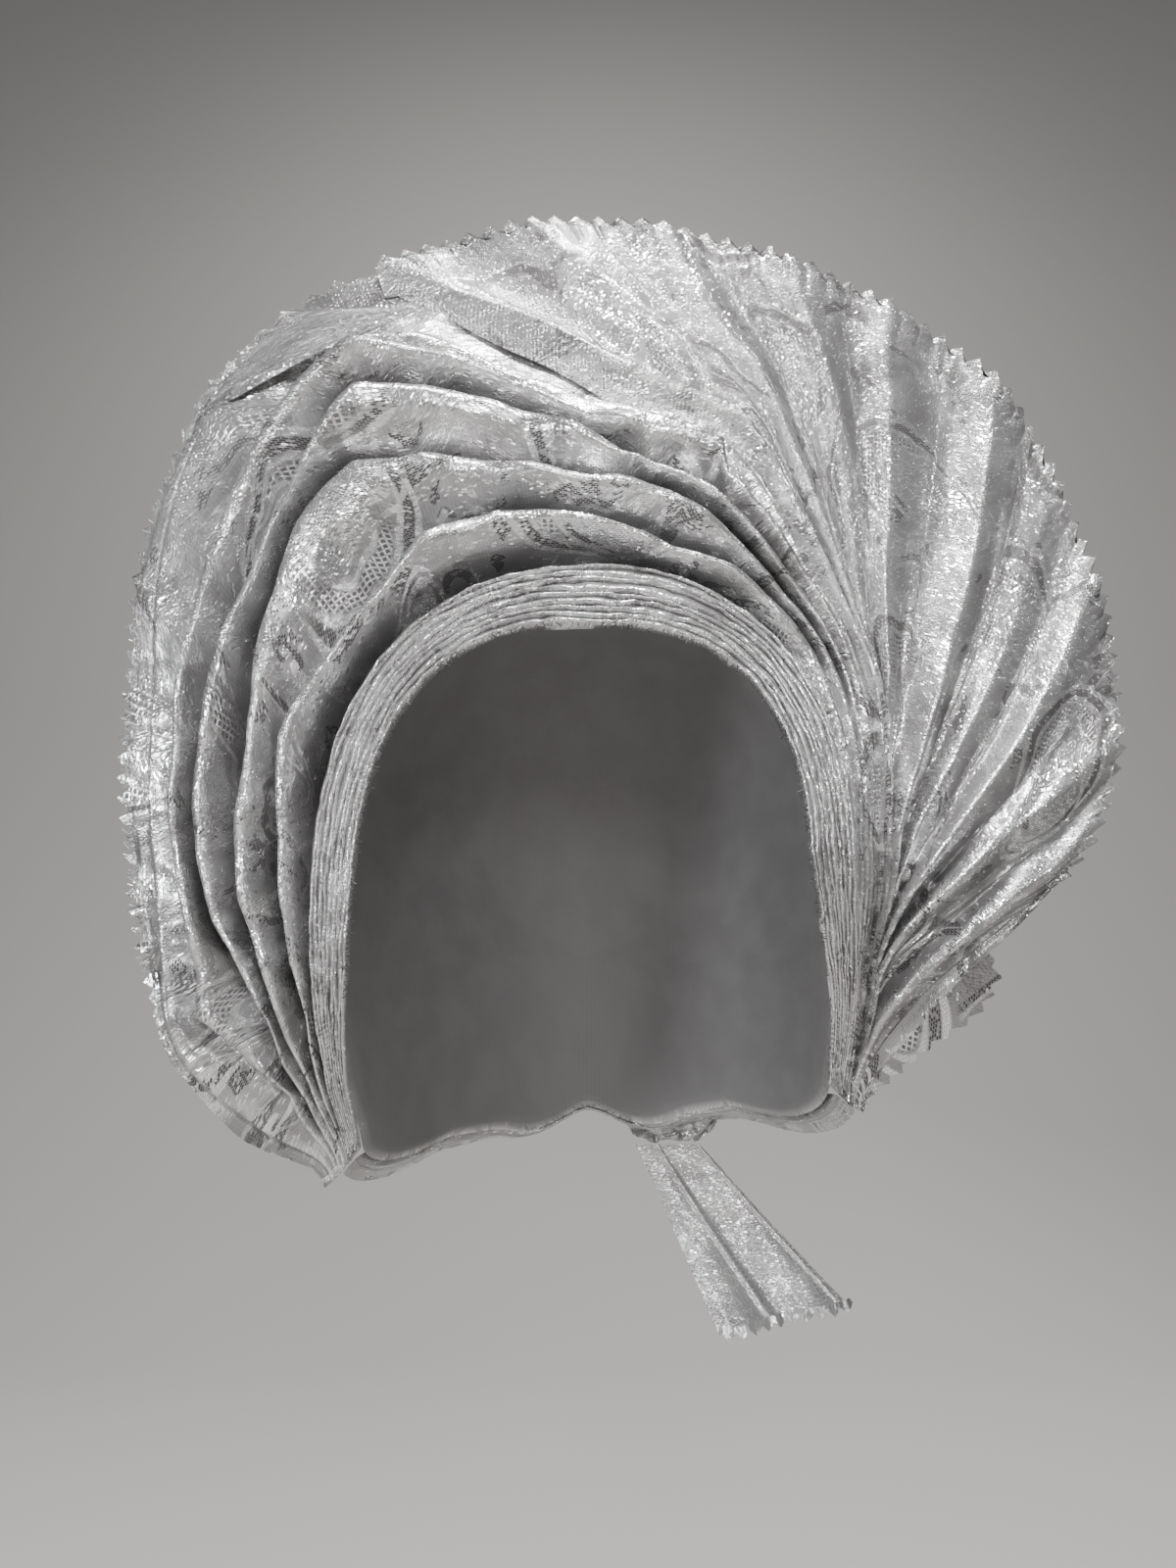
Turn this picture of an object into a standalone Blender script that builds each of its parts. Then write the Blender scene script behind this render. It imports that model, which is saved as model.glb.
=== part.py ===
"""A tied gele head tie: a stiff brocade cloth wound round the head, pleated over the brow, spread into a
fan on one side and into folds that circle the face on the other, and knotted at the nape.

Metres, +Z up, the face opening looks along -Y. The origin is the inside of the crown's top, where the
head bears. Places round the face are polar: an angle about the head's middle, seen from the front and
counted from +X, and a radius in that plane. A share runs from the brow band's outer edge, 0, to the
pinked hem, 1.
"""

import bisect
import math
from collections import namedtuple

import bpy

# The head form that the cloth is wound on
HEAD_HALF_WIDTH = 0.073
HEAD_HALF_LENGTH = 0.093
HEAD_VAULT = 0.095
HEAD_DROP = 0.150
HEAD_ROUNDNESS = 2.5

# Cloth and the gaps between its layers
CLOTH_WALL = 0.0016
CROWN_WALL = 0.0022
LAYER_GAP = 0.0004
CROWN_TUCK = 0.006
STEEPEST_WALL = 2.4

# The brow band, a stack of narrow pleats
BAND_WIDTH = 0.024
BAND_SETBACK = 0.0105
BAND_THICKNESS = 0.005
BAND_PLEATS = 8
BAND_PLEAT_STEP = 0.0013

# The halo of cloth outside the band
HALO_REACH = 0.144
HALO_SETBACK = 0.025
FOLD_RELIEF = 0.016
FAN_RELIEF = 0.012
FAN_OVERLAP = 0.07

# The flap of the fan's last fold, behind its lower edge
UNDERLAP_DROP = 0.013

# The bundle round the nape, its knot and its free end
NAPE_WIDTH = 0.026
NAPE_SEAT = 0.0014
NAPE_THICKNESS = 0.005
NAPE_FOLD_STEP = 0.0012
NAPE_FOLDS = 3
KNOT_HALF_LENGTH = 0.019
KNOT_HALF_WIDTH = 0.014
KNOT_HALF_DEPTH = 0.009
KNOT_FLAT_SIDE = 0.8
KNOT_WAIST = 0.16
KNOT_FULLNESS = 0.94
KNOT_SEAT = 0.0010
KNOT_ANGLE = 299.0
TAIL_LENGTH = 0.060
TAIL_TOP_WIDTH = 0.024
TAIL_END_WIDTH = 0.046
TAIL_SIDEWAYS = 0.040
TAIL_FORWARD = 0.016
TAIL_SLANT = 0.22
TAIL_TEETH = 8
TAIL_TOOTH = 0.0025

# Stations round the face opening, from the right ear over the brow to the left ear, as the viewer sees
# them. opening: how far in front of the head's middle the band starts, as a share of HEAD_HALF_LENGTH.
# band, reach, setback and relief: shares of the sizes above.
Station = namedtuple("Station", "name angle opening band reach setback relief")
STATIONS = (
    Station("ear_right", -34, 0.13, 0.25, 0.065, 0.45, 0.03),
    Station("cheek_right", -12, 0.42, 0.42, 0.21, 0.90, 0.06),
    Station("side_right", 15, 0.54, 0.62, 0.605, 1.0, 0.10),
    Station("brow_right", 38, 0.48, 0.72, 0.785, 1.0, 0.25),
    Station("turn_right", 56, 0.46, 0.82, 0.93, 1.0, 0.55),
    Station("peak_right", 74, 0.49, 0.95, 0.965, 1.0, 1.0),
    Station("peak", 90, 0.51, 1.0, 1.0, 1.0, 1.0),
    Station("peak_left", 102, 0.49, 0.97, 0.975, 1.0, 1.0),
    Station("corner", 114, 0.48, 0.90, 0.945, 1.0, 1.0),
    Station("turn_left", 126, 0.45, 0.84, 0.855, 1.0, 1.0),
    Station("brow_left", 138, 0.43, 0.76, 0.715, 1.0, 1.0),
    Station("side_left", 154, 0.41, 0.67, 0.54, 1.0, 1.0),
    Station("cheek_left", 178, 0.39, 0.58, 0.41, 1.0, 0.9),
    Station("low_left", 195, 0.35, 0.50, 0.355, 1.0, 0.7),
    Station("jaw_left", 210, 0.19, 0.35, 0.25, 0.90, 0.4),
    Station("ear_left", 224, -0.02, 0.25, 0.085, 0.45, 0.1),
)

# Where the crown's edge runs behind the ears and across the nape, in the same terms as opening.
Nape = namedtuple("Nape", "angle opening")
NAPE = (Nape(234, -0.60), Nape(245, -0.77), Nape(270, -0.88), Nape(298, -0.77), Nape(312, -0.60))

# The folds that circle the face, from the band outwards: height of the crest and of the pocket outside
# it, as shares of FOLD_RELIEF, and the crest's share of the halo at each station above.
Fold = namedtuple("Fold", "name crest pocket shares")
FOLDS = (
    Fold("first", 0.75, -0.55,
         (.08, .03, .023, .040, .055, .050, .070, .095, .110, .115, .140, .155, .110, .080, .10, .20)),
    Fold("second", 0.90, -0.45,
         (.18, .07, .050, .070, .085, .110, .170, .250, .350, .385, .380, .340, .300, .200, .20, .32)),
    Fold("third", 1.0, -0.50,
         (.28, .11, .075, .100, .140, .190, .255, .365, .555, .530, .500, .510, .590, .450, .32, .45)),
    Fold("outer", 0.90, 0.0,
         (.38, .15, .100, .140, .180, .370, .330, .500, .710, .670, .660, .730, .750, .740, .50, .58)),
    Fold("foot", 0.0, 0.0,
         (.46, .18, .120, .180, .240, .450, .480, .640, .850, .820, .820, .870, .880, .880, .65, .72)),
    Fold("fan_edge", 0.0, 0.0,
         (.55, .22, .145, .220, .300, .520, .620, .840, 1.00, 1.00, 1.00, 1.00, 1.00, 1.00, 1.0, 1.0)),
)

# The fan's pleats, from the fold over the brow to its lower edge: the angle where each crest meets the
# hem, how late it leaves the fan's inner edge, and its height as a share of FAN_RELIEF.
Pleat = namedtuple("Pleat", "hem_angle bend height")
PLEATS = (
    Pleat(108.0, 30.0, 0.55),
    Pleat(97.0, 14.0, 0.30),
    Pleat(84.0, 11.0, 0.70),
    Pleat(74.0, 10.5, 0.40),
    Pleat(64.0, 10.0, 0.80),
    Pleat(53.0, 5.0, 1.0),
    Pleat(43.0, 4.2, 0.70),
    Pleat(33.0, 3.4, 1.1),
    Pleat(19.0, 2.9, 1.2),
    Pleat(9.0, 1.1, 1.0),
    Pleat(4.0, 0.0, 0.30),
)

# How much of UNDERLAP_DROP the flap shows below the fan, by angle.
Flap = namedtuple("Flap", "angle drop")
FLAP = (Flap(-33.5, 0.1), Flap(-27, 0.3), Flap(-19, 0.6), Flap(-12, 1.0), Flap(-8, 0.8), Flap(-4, 0.1))

SWIRL_COLUMNS = 58
SWIRL_STEPS = 2
OUTER_STEPS = 3
FAN_STEPS = 15
BAND_COLUMNS = 40
CROWN_COLUMNS = 48
CROWN_RINGS = 7
NAPE_COLUMNS = 24
ROOT_SHARE = 0.04

FIRST_ANGLE = STATIONS[0].angle
LAST_ANGLE = STATIONS[-1].angle


def monotone(places, values, at):
    """The value at a place, on a smooth curve through the given ones that never overshoots them."""
    at = min(max(at, places[0]), places[-1])
    i = min(max(bisect.bisect_right(places, at) - 1, 0), len(places) - 2)
    slopes = [(values[k + 1] - values[k]) / (places[k + 1] - places[k]) for k in range(len(places) - 1)]

    def tangent(k):
        if k in (0, len(places) - 1) or slopes[k - 1] * slopes[k] <= 0:
            return 0.0
        return 2 * slopes[k - 1] * slopes[k] / (slopes[k - 1] + slopes[k])

    width = places[i + 1] - places[i]
    t = (at - places[i]) / width
    rise = t * t * (3 - 2 * t)
    start = t * (1 - t) ** 2 * width * tangent(i)
    end = -t * t * (1 - t) * width * tangent(i + 1)
    return values[i] + (values[i + 1] - values[i]) * rise + start + end


def station(column, angle):
    """A column of STATIONS at any angle round the face."""
    return monotone([s.angle for s in STATIONS], [getattr(s, column) for s in STATIONS], angle)


def fold_share(fold, angle):
    return monotone([s.angle for s in STATIONS], list(fold.shares), angle)


def head_radius(angle, y, offset=0.0):
    """How far the head form reaches from its middle in the direction of angle, at depth y."""
    c, s = math.cos(math.radians(angle)), math.sin(math.radians(angle))
    tall = (HEAD_VAULT if s > 0 else HEAD_DROP) + offset
    depth = math.sqrt(max(1 - (y / (HEAD_HALF_LENGTH + offset)) ** 2, 0.0))
    wide = abs(c / (HEAD_HALF_WIDTH + offset)) ** HEAD_ROUNDNESS
    high = abs(s / tall) ** HEAD_ROUNDNESS
    return depth / (wide + high) ** (1 / HEAD_ROUNDNESS)


def place(angle, radius, y):
    """Row-frame coordinates of a polar place."""
    a = math.radians(angle)
    return (radius * math.cos(a), y, radius * math.sin(a) - HEAD_VAULT)


def band_inner(angle):
    """Radius and depth of the band's inner edge, on the head."""
    y = -station("opening", angle) * HEAD_HALF_LENGTH
    return head_radius(angle, y), y


def band_outer(angle):
    """Radius and depth of the band's outer edge."""
    radius, y = band_inner(angle)
    share = station("band", angle)
    return radius + BAND_WIDTH * share, y + BAND_SETBACK * min(1.0, 0.5 + share / 2)


def halo(angle, share, lift):
    """A point of the halo: lift is how far it stands in front of the halo's base surface."""
    radius, y = band_outer(angle)
    reach = HALO_REACH * station("reach", angle)
    base = y + HALO_SETBACK * station("setback", angle) * (0.85 + 0.15 * share)
    return place(angle, radius + reach * share, base - lift)


def steepness(front, row, column):
    """How much thicker, along Y, a wall gets at a grid point so that it keeps its thickness on a slope."""
    steepest = 1.0
    x, y, z = front[row][column]
    for r, c in ((row - 1, column), (row + 1, column), (row, column - 1), (row, column + 1)):
        if 0 <= r < len(front) and 0 <= c < len(front[0]):
            u, v, w = front[r][c]
            across = math.hypot(u - x, w - z)
            steepest = max(steepest, math.hypot(across, v - y) / max(across, 1e-6))
    return min(steepest, STEEPEST_WALL)


def walled(grid, direction, wall=CLOTH_WALL):
    """The grid and a copy of it one wall away along Y: direction 1 puts the copy behind, -1 in front."""
    copy = [
        [(x, y + direction * wall * steepness(grid, r, c), z) for c, (x, y, z) in enumerate(row)]
        for r, row in enumerate(grid)
    ]
    return (grid, copy) if direction > 0 else (copy, grid)


def solid(name, points, faces, material, smooth_angle=50.0):
    mesh = bpy.data.meshes.new(name)
    mesh.from_pydata(points, [], faces)
    mesh.shade_smooth()
    mesh.set_sharp_from_angle(angle=math.radians(smooth_angle))
    mesh.materials.append(material)
    made = bpy.data.objects.new(name, mesh)
    bpy.context.scene.collection.objects.link(made)
    return made


def sheet(name, front, back, material):
    """A closed wall between two grids of the same size. Rows run one way and columns the other."""
    rows, columns = len(front), len(front[0])
    points = [p for grid in (front, back) for row in grid for p in row]

    def at(side, r, c):
        return side * rows * columns + r * columns + c

    faces = []
    for r in range(rows - 1):
        for c in range(columns - 1):
            faces.append((at(0, r, c), at(0, r, c + 1), at(0, r + 1, c + 1), at(0, r + 1, c)))
            faces.append((at(1, r, c), at(1, r + 1, c), at(1, r + 1, c + 1), at(1, r, c + 1)))
    for c in range(columns - 1):
        faces.append((at(0, 0, c), at(1, 0, c), at(1, 0, c + 1), at(0, 0, c + 1)))
        last = rows - 1
        faces.append((at(0, last, c), at(0, last, c + 1), at(1, last, c + 1), at(1, last, c)))
    for r in range(rows - 1):
        faces.append((at(0, r, 0), at(0, r + 1, 0), at(1, r + 1, 0), at(1, r, 0)))
        last = columns - 1
        faces.append((at(0, r, last), at(1, r, last), at(1, r + 1, last), at(0, r + 1, last)))
    return solid(name, points, faces, material)


def swept(name, sections, material, closed=False):
    """A closed solid through sections, each a ring with the same number of points."""
    count, size = len(sections), len(sections[0])
    points = [p for section in sections for p in section]
    faces = []
    for k in range(count if closed else count - 1):
        following = (k + 1) % count
        for i in range(size):
            j = (i + 1) % size
            faces.append((k * size + i, k * size + j, following * size + j, following * size + i))
    if not closed:
        faces.append(tuple(range(size - 1, -1, -1)))
        faces.append(tuple((count - 1) * size + i for i in range(size)))
    return solid(name, points, faces, material)


def crown_edge(angle):
    """The crown's front edge, as the angle from the back of the head towards the face."""
    sides = [s for s in STATIONS if s.angle >= 195]
    others = [s for s in STATIONS if s.angle <= 15]
    places = [s.angle for s in sides] + [n.angle for n in NAPE] + [s.angle + 360 for s in others]
    values = [s.opening for s in sides] + [n.opening for n in NAPE] + [s.opening for s in others]
    turned = (angle - FIRST_ANGLE) % 360 + FIRST_ANGLE
    opening = monotone(places, values, turned) if turned > LAST_ANGLE else station("opening", turned)
    return math.acos(-opening) - (BAND_THICKNESS + CROWN_TUCK) / HEAD_HALF_LENGTH


def on_head(angle, turn, offset):
    """A point on the head form, offset outwards; turn is the angle from the back of the head."""
    y = (HEAD_HALF_LENGTH + offset) * math.cos(turn)
    return place(angle, head_radius(angle, y, offset), y)


def spaced_angles(first, last, count):
    """Angles between two, count steps in all, that are an even length apart along the crown's edge."""
    steps = 8 * count
    angles = [first + (last - first) * k / steps for k in range(steps + 1)]
    edge = [on_head(a, crown_edge(a), 0.0) for a in angles]
    lengths = [0.0]
    for p, q in zip(edge, edge[1:]):
        lengths.append(lengths[-1] + math.dist(p, q))
    return [monotone(lengths, angles, lengths[-1] * k / count) for k in range(count + 1)]


def crown_wrap(material):
    """The cloth that covers the top and back of the head: a bowl, open to the face and the neck."""
    angles = spaced_angles(FIRST_ANGLE, FIRST_ANGLE + 360, CROWN_COLUMNS)[:-1]
    shells = []
    for offset in (0.0, CROWN_WALL):
        pole = on_head(0.0, 0.0, offset)
        rings = []
        for ring in range(1, CROWN_RINGS + 1):
            share = ring / CROWN_RINGS
            rings.append([on_head(a, crown_edge(a) * share, offset) for a in angles])
        shells.append((pole, rings))
    points, faces = [], []
    starts = []
    for pole, rings in shells:
        starts.append(len(points))
        points.append(pole)
        points += [p for ring in rings for p in ring]
    for shell, start in enumerate(starts):
        outer = shell == 1
        for k in range(CROWN_COLUMNS):
            j = (k + 1) % CROWN_COLUMNS
            tip = (start, start + 1 + k, start + 1 + j)
            faces.append(tip[::-1] if outer else tip)
            for ring in range(CROWN_RINGS - 1):
                a = start + 1 + ring * CROWN_COLUMNS
                b = a + CROWN_COLUMNS
                face = (a + k, b + k, b + j, a + j)
                faces.append(face[::-1] if outer else face)
    inner_rim = starts[0] + 1 + (CROWN_RINGS - 1) * CROWN_COLUMNS
    outer_rim = starts[1] + 1 + (CROWN_RINGS - 1) * CROWN_COLUMNS
    for k in range(CROWN_COLUMNS):
        j = (k + 1) % CROWN_COLUMNS
        faces.append((inner_rim + k, outer_rim + k, outer_rim + j, inner_rim + j))
    return solid("crown_wrap", points, faces, material)


def brow_band(material):
    """The stack of pleats round the face, each lapping the next one out like shingles."""
    sections = []
    for column in range(BAND_COLUMNS + 1):
        angle = FIRST_ANGLE + (LAST_ANGLE - FIRST_ANGLE) * column / BAND_COLUMNS
        (r0, y0), (r1, y1) = band_inner(angle), band_outer(angle)
        length = math.hypot(r1 - r0, y1 - y0)
        front = ((y1 - y0) / length, -(r1 - r0) / length)
        step = min(BAND_PLEAT_STEP, 0.5 * length / BAND_PLEATS)
        section = []
        for pleat in range(BAND_PLEATS):
            for share, proud in ((pleat + 0.06, step), (pleat + 0.94, 0.0)):
                t = share / BAND_PLEATS
                radius = r0 + (r1 - r0) * t + front[0] * proud * t
                section.append(place(angle, radius, y0 + (y1 - y0) * t + front[1] * proud))
        back = y0 + BAND_THICKNESS
        section.append(place(angle, r1, y1 + BAND_THICKNESS))
        section.append(place(angle, head_radius(angle, back) + LAYER_GAP, back))
        sections.append(section)
    return swept("brow_band", sections, material)


def swirl_profile(angle):
    """Shares and lifts of the folds' section at one angle, from the band out to where the fan covers it."""
    crests, foot, edge = FOLDS[:4], FOLDS[4], FOLDS[5]
    relief = FOLD_RELIEF * station("relief", angle)
    start = HALO_SETBACK * station("setback", angle) * 0.85 - 0.4 * BAND_THICKNESS
    foot_share = fold_share(foot, angle)
    reach = HALO_REACH * station("reach", angle)
    inner = LAYER_GAP / reach

    def ramp(share):
        return start * max(0.0, 1 - share / foot_share)

    lines = [(inner, ramp(inner))]
    before = inner
    for i, fold in enumerate(crests):
        share = fold_share(fold, angle)
        pocket = before + (0.7 if i else 0.55) * (share - before)
        depth = crests[i - 1].pocket if i else -0.55
        lines.append((pocket, ramp(pocket) + depth * relief))
        lines.append((share, ramp(share) + fold.crest * relief))
        before = share
    lines.append((foot_share, 0.0))
    tucked = min(1.0, fold_share(edge, angle) + FAN_OVERLAP)
    for k in range(1, OUTER_STEPS + 1):
        lines.append((foot_share + (tucked - foot_share) * k / OUTER_STEPS, 0.0))
    return lines


def rounded(lines, steps):
    """The same profile with points added between its own, so that crests are softer than pockets."""
    found = []
    for (s0, l0), (s1, l1) in zip(lines, lines[1:]):
        for k in range(steps):
            t = k / steps
            bulge = t ** 0.7 if l0 < l1 else t ** 1.4
            found.append((s0 + (s1 - s0) * t, l0 + (l1 - l0) * bulge))
    return found + [lines[-1]]


def swirl_folds(material):
    """The folds that run over the brow and down the other side of the face, and the hem behind them."""
    columns = []
    for column in range(SWIRL_COLUMNS + 1):
        angle = LAST_ANGLE + (FIRST_ANGLE - LAST_ANGLE) * column / SWIRL_COLUMNS
        profile = rounded(swirl_profile(angle), SWIRL_STEPS)
        columns.append([halo(angle, share, lift) for share, lift in profile])
    front = [list(line) for line in zip(*columns)]
    return sheet("swirl_folds", *walled(front, 1), material)


def fan_lines():
    """The fan's crests with a valley between each two, as hem angle, bend and height."""
    lines = []
    for one, other in zip(PLEATS, PLEATS[1:]):
        middle = Pleat((one.hem_angle + other.hem_angle) / 2, (one.bend + other.bend) / 2, 0.0)
        lines += [one, middle]
    return lines + [PLEATS[-1]]


def fan_point(line, t):
    """A point of one pleat line of the fan, t from 0 at its root by the ear to 1 at the hem."""
    angle = FIRST_ANGLE + (line.hem_angle - FIRST_ANGLE) * t
    edge = fold_share(FOLDS[5], angle)
    order = (PLEATS[0].hem_angle - line.hem_angle) / (PLEATS[0].hem_angle - PLEATS[-1].hem_angle)
    rise = t ** line.bend if line.bend > 0 else 1.0
    rise = max(rise, order * (ROOT_SHARE + (1 - ROOT_SHARE) * rise))
    share = edge + (1 - edge) * rise
    swell = min(1.0, t / 0.5) * (1 - 0.4 * t)
    return halo(angle, share, LAYER_GAP + FAN_RELIEF * line.height * swell)


def side_fan(material):
    """The fan of pleats that spreads from the ear up to the hem."""
    lines = fan_lines()
    back = [[fan_point(line, step / FAN_STEPS) for line in lines] for step in range(FAN_STEPS + 1)]
    return sheet("side_fan", *walled(back, -1), material)


def fan_underlap(material):
    """The flap of the fan's last fold, which shows below the fan's lower edge."""
    steps = 12
    inner, outer = [], []
    for k in range(steps + 1):
        angle = FLAP[-1].angle + (FLAP[0].angle - FLAP[-1].angle) * k / steps
        drop = UNDERLAP_DROP * monotone([f.angle for f in FLAP], [f.drop for f in FLAP], angle)
        reach = HALO_REACH * station("reach", angle)
        inner.append(halo(angle, fold_share(FOLDS[5], angle) + 1.4 * FAN_OVERLAP, 0.0))
        outer.append(halo(angle, 1 + drop / reach, 0.0))
    middle = [tuple((a + b) / 2 for a, b in zip(p, q)) for p, q in zip(inner, outer)]
    return sheet("fan_underlap", *walled([inner, middle, outer], 1), material)


def nape_wrap(material):
    """The twisted ends of the cloth, crossing the nape from ear to ear outside the crown's edge."""
    sections = []
    spare = math.degrees(LAYER_GAP / HEAD_HALF_WIDTH)
    first, last = LAST_ANGLE + spare, FIRST_ANGLE + 360 - spare
    for angle in spaced_angles(first, last, NAPE_COLUMNS):
        edge = crown_edge(angle)
        width = NAPE_WIDTH / (0.5 * (HEAD_HALF_LENGTH + HEAD_DROP))
        seat = CROWN_WALL + NAPE_SEAT
        outer, inner = [], []
        for k in range(2 * NAPE_FOLDS + 1):
            t = k / (2 * NAPE_FOLDS)
            fold = NAPE_FOLD_STEP if k % 2 else 0.0
            swell = math.sqrt(max(0.0, 1 - (2 * t - 1) ** 2))
            turn = edge - width * t
            outer.append(on_head(angle, turn, seat + 0.4 * NAPE_THICKNESS * (1 + 1.5 * swell) + fold))
        for t in (1.0, 0.5, 0.0):
            inner.append(on_head(angle, edge - width * t, seat))
        sections.append(outer + inner)
    return swept("nape_wrap", sections, material)


def knot_frame():
    """Where the knot sits on the nape wrap: its middle, and unit vectors along, down and out."""
    width = NAPE_WIDTH / (0.5 * (HEAD_HALF_LENGTH + HEAD_DROP))
    turn = crown_edge(KNOT_ANGLE) - 0.5 * width
    seat = CROWN_WALL + NAPE_SEAT + NAPE_THICKNESS + NAPE_FOLD_STEP + KNOT_SEAT
    x, y, z = on_head(KNOT_ANGLE, turn, seat)
    deeper = on_head(KNOT_ANGLE, turn, seat + 0.001)
    out = [b - a for a, b in zip((x, y, z), deeper)]
    size = math.sqrt(sum(v * v for v in out))
    out = [v / size for v in out]
    level = math.hypot(out[0], out[1])
    along = (out[1] / level, -out[0] / level, 0.0)
    down = (
        along[1] * out[2] - along[2] * out[1],
        along[2] * out[0] - along[0] * out[2],
        along[0] * out[1] - along[1] * out[0],
    )
    if down[2] > 0:
        down = tuple(-v for v in down)
    middle = tuple(p + n * KNOT_FLAT_SIDE * KNOT_HALF_DEPTH for p, n in zip((x, y, z), out))
    return middle, along, down, tuple(out)


def nape_knot(material):
    """The knot: a plump crossing of the two ends, with a flatter inner side and a pinched waist."""
    middle, along, down, out = knot_frame()
    rings, sides = 9, 14
    sections = []
    for ring in range(rings):
        t = -1 + 2 * (ring + 0.5) / rings
        swell = math.sqrt(1 - t * t) ** 0.8
        waist = 1 - KNOT_WAIST * math.exp(-((t / 0.25) ** 2))
        section = []
        for side in range(sides):
            a = 2 * math.pi * side / sides
            d = KNOT_HALF_WIDTH * math.cos(a) * swell * waist
            o = KNOT_HALF_DEPTH * max(math.sin(a), -KNOT_FLAT_SIDE) * swell * waist
            s = KNOT_HALF_LENGTH * t
            section.append(tuple(m + s * u + d * v + o * w for m, u, v, w in zip(middle, along, down, out)))
        sections.append(section)
    return swept("nape_knot", sections, material)


def knot_tail(material):
    """The free end of the cloth: folded in two, it hangs from the knot towards the fan's side."""
    middle, along, down, out = knot_frame()
    below = KNOT_FULLNESS * KNOT_HALF_WIDTH + LAYER_GAP
    top = [m + d * below for m, d in zip(middle, down)]
    rows, columns = 7, 2 * TAIL_TEETH
    front = []
    for r in range(rows + 1):
        t = r / rows
        half = 0.5 * (TAIL_TOP_WIDTH + (TAIL_END_WIDTH - TAIL_TOP_WIDTH) * t)
        line = []
        for c in range(columns + 1):
            side = 1 - 2 * c / columns
            tooth = TAIL_TOOTH * (c % 2) if r == rows else 0.0
            x = top[0] + TAIL_SIDEWAYS * t + half * side
            z = top[2] - TAIL_LENGTH * t + tooth + TAIL_SLANT * half * side * t
            sag = 0.12 * half * math.cos(1.6 * math.pi * side) * t
            line.append((x, top[1] - TAIL_FORWARD * t * t + sag, z))
        front.append(line)
    return sheet("knot_tail", *walled(front, 1), material)


def brocade(name, colour, roughness, metallic):
    material = bpy.data.materials.new(name)
    material.use_nodes = True
    shader = material.node_tree.nodes["Principled BSDF"]
    shader.inputs["Base Color"].default_value = (*colour, 1.0)
    shader.inputs["Roughness"].default_value = roughness
    shader.inputs["Metallic"].default_value = metallic
    return material


def main():
    for found in list(bpy.data.objects):
        bpy.data.objects.remove(found, do_unlink=True)
    foil = brocade("silver_brocade", (0.62, 0.63, 0.64), 0.34, 0.65)
    ribbed = brocade("pleated_brocade", (0.55, 0.56, 0.57), 0.38, 0.6)
    crown_wrap(ribbed)
    brow_band(ribbed)
    swirl_folds(foil)
    side_fan(foil)
    fan_underlap(foil)
    nape_wrap(ribbed)
    nape_knot(ribbed)
    knot_tail(foil)


main()
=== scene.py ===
"""The looks of a tied gele head tie: jacquard cloth in fine pleats, a pinked fan and swirling folds."""

import math

import bmesh
import bpy
import numpy as np
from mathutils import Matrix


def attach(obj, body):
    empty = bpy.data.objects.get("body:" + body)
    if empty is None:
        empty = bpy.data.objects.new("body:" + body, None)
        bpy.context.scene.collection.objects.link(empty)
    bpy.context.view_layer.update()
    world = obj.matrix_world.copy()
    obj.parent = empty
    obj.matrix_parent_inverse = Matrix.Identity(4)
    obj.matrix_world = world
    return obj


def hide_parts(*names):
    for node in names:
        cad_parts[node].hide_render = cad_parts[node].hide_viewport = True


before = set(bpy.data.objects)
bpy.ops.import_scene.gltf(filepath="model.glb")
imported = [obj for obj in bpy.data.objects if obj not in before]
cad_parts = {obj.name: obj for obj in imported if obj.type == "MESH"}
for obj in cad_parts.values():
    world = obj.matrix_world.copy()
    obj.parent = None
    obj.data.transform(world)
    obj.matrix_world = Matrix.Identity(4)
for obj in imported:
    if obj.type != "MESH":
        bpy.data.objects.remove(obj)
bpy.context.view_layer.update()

# Sizes that are the frame's own: metres, degrees and shares
HEAD_HALF_WIDTH = 0.073
HEAD_HALF_LENGTH = 0.093
HEAD_VAULT = 0.095
HEAD_DROP = 0.150
HEAD_ROUNDNESS = 2.5
BAND_WIDTH = 0.024
BAND_SETBACK = 0.0105
BAND_THICKNESS = 0.005
BAND_PLEATS = 9
BAND_PLEAT_STEP = 0.0013
HALO_REACH = 0.144
HALO_SETBACK = 0.025
FOLD_RELIEF = 0.016
FAN_RELIEF = 0.012
FAN_OVERLAP = 0.07
UNDERLAP_DROP = 0.013
CROWN_WALL = 0.0022
CROWN_TUCK = 0.006
NAPE_WIDTH = 0.026
NAPE_SEAT = 0.0014
NAPE_THICKNESS = 0.005
NAPE_FOLD_STEP = 0.0012
NAPE_TURN = NAPE_WIDTH / (0.5 * (HEAD_HALF_LENGTH + HEAD_DROP))
KNOT_HALF_LENGTH = 0.019
KNOT_HALF_WIDTH = 0.014
KNOT_HALF_DEPTH = 0.009
KNOT_FLAT_SIDE = 0.8
KNOT_WAIST = 0.16
KNOT_FULLNESS = 0.94
KNOT_SEAT = 0.0010
KNOT_ANGLE = 299.0
TAIL_LENGTH = 0.060
TAIL_TOP_WIDTH = 0.024
TAIL_END_WIDTH = 0.046
TAIL_SIDEWAYS = 0.040
TAIL_FORWARD = 0.016
TAIL_SLANT = 0.22
TAIL_TOOTH = 0.0025
FIRST_ANGLE = -34.0
LAST_ANGLE = 224.0

# The crown's edge across the nape, and the drop of the fan's flap, by angle
NAPE = np.array(((234, -0.60), (245, -0.77), (270, -0.88), (298, -0.77), (312, -0.60)))
FLAP = np.array(((-33.5, 0.1), (-27, 0.3), (-19, 0.6), (-12, 1.0), (-8, 0.8), (-4, 0.1)))

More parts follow.
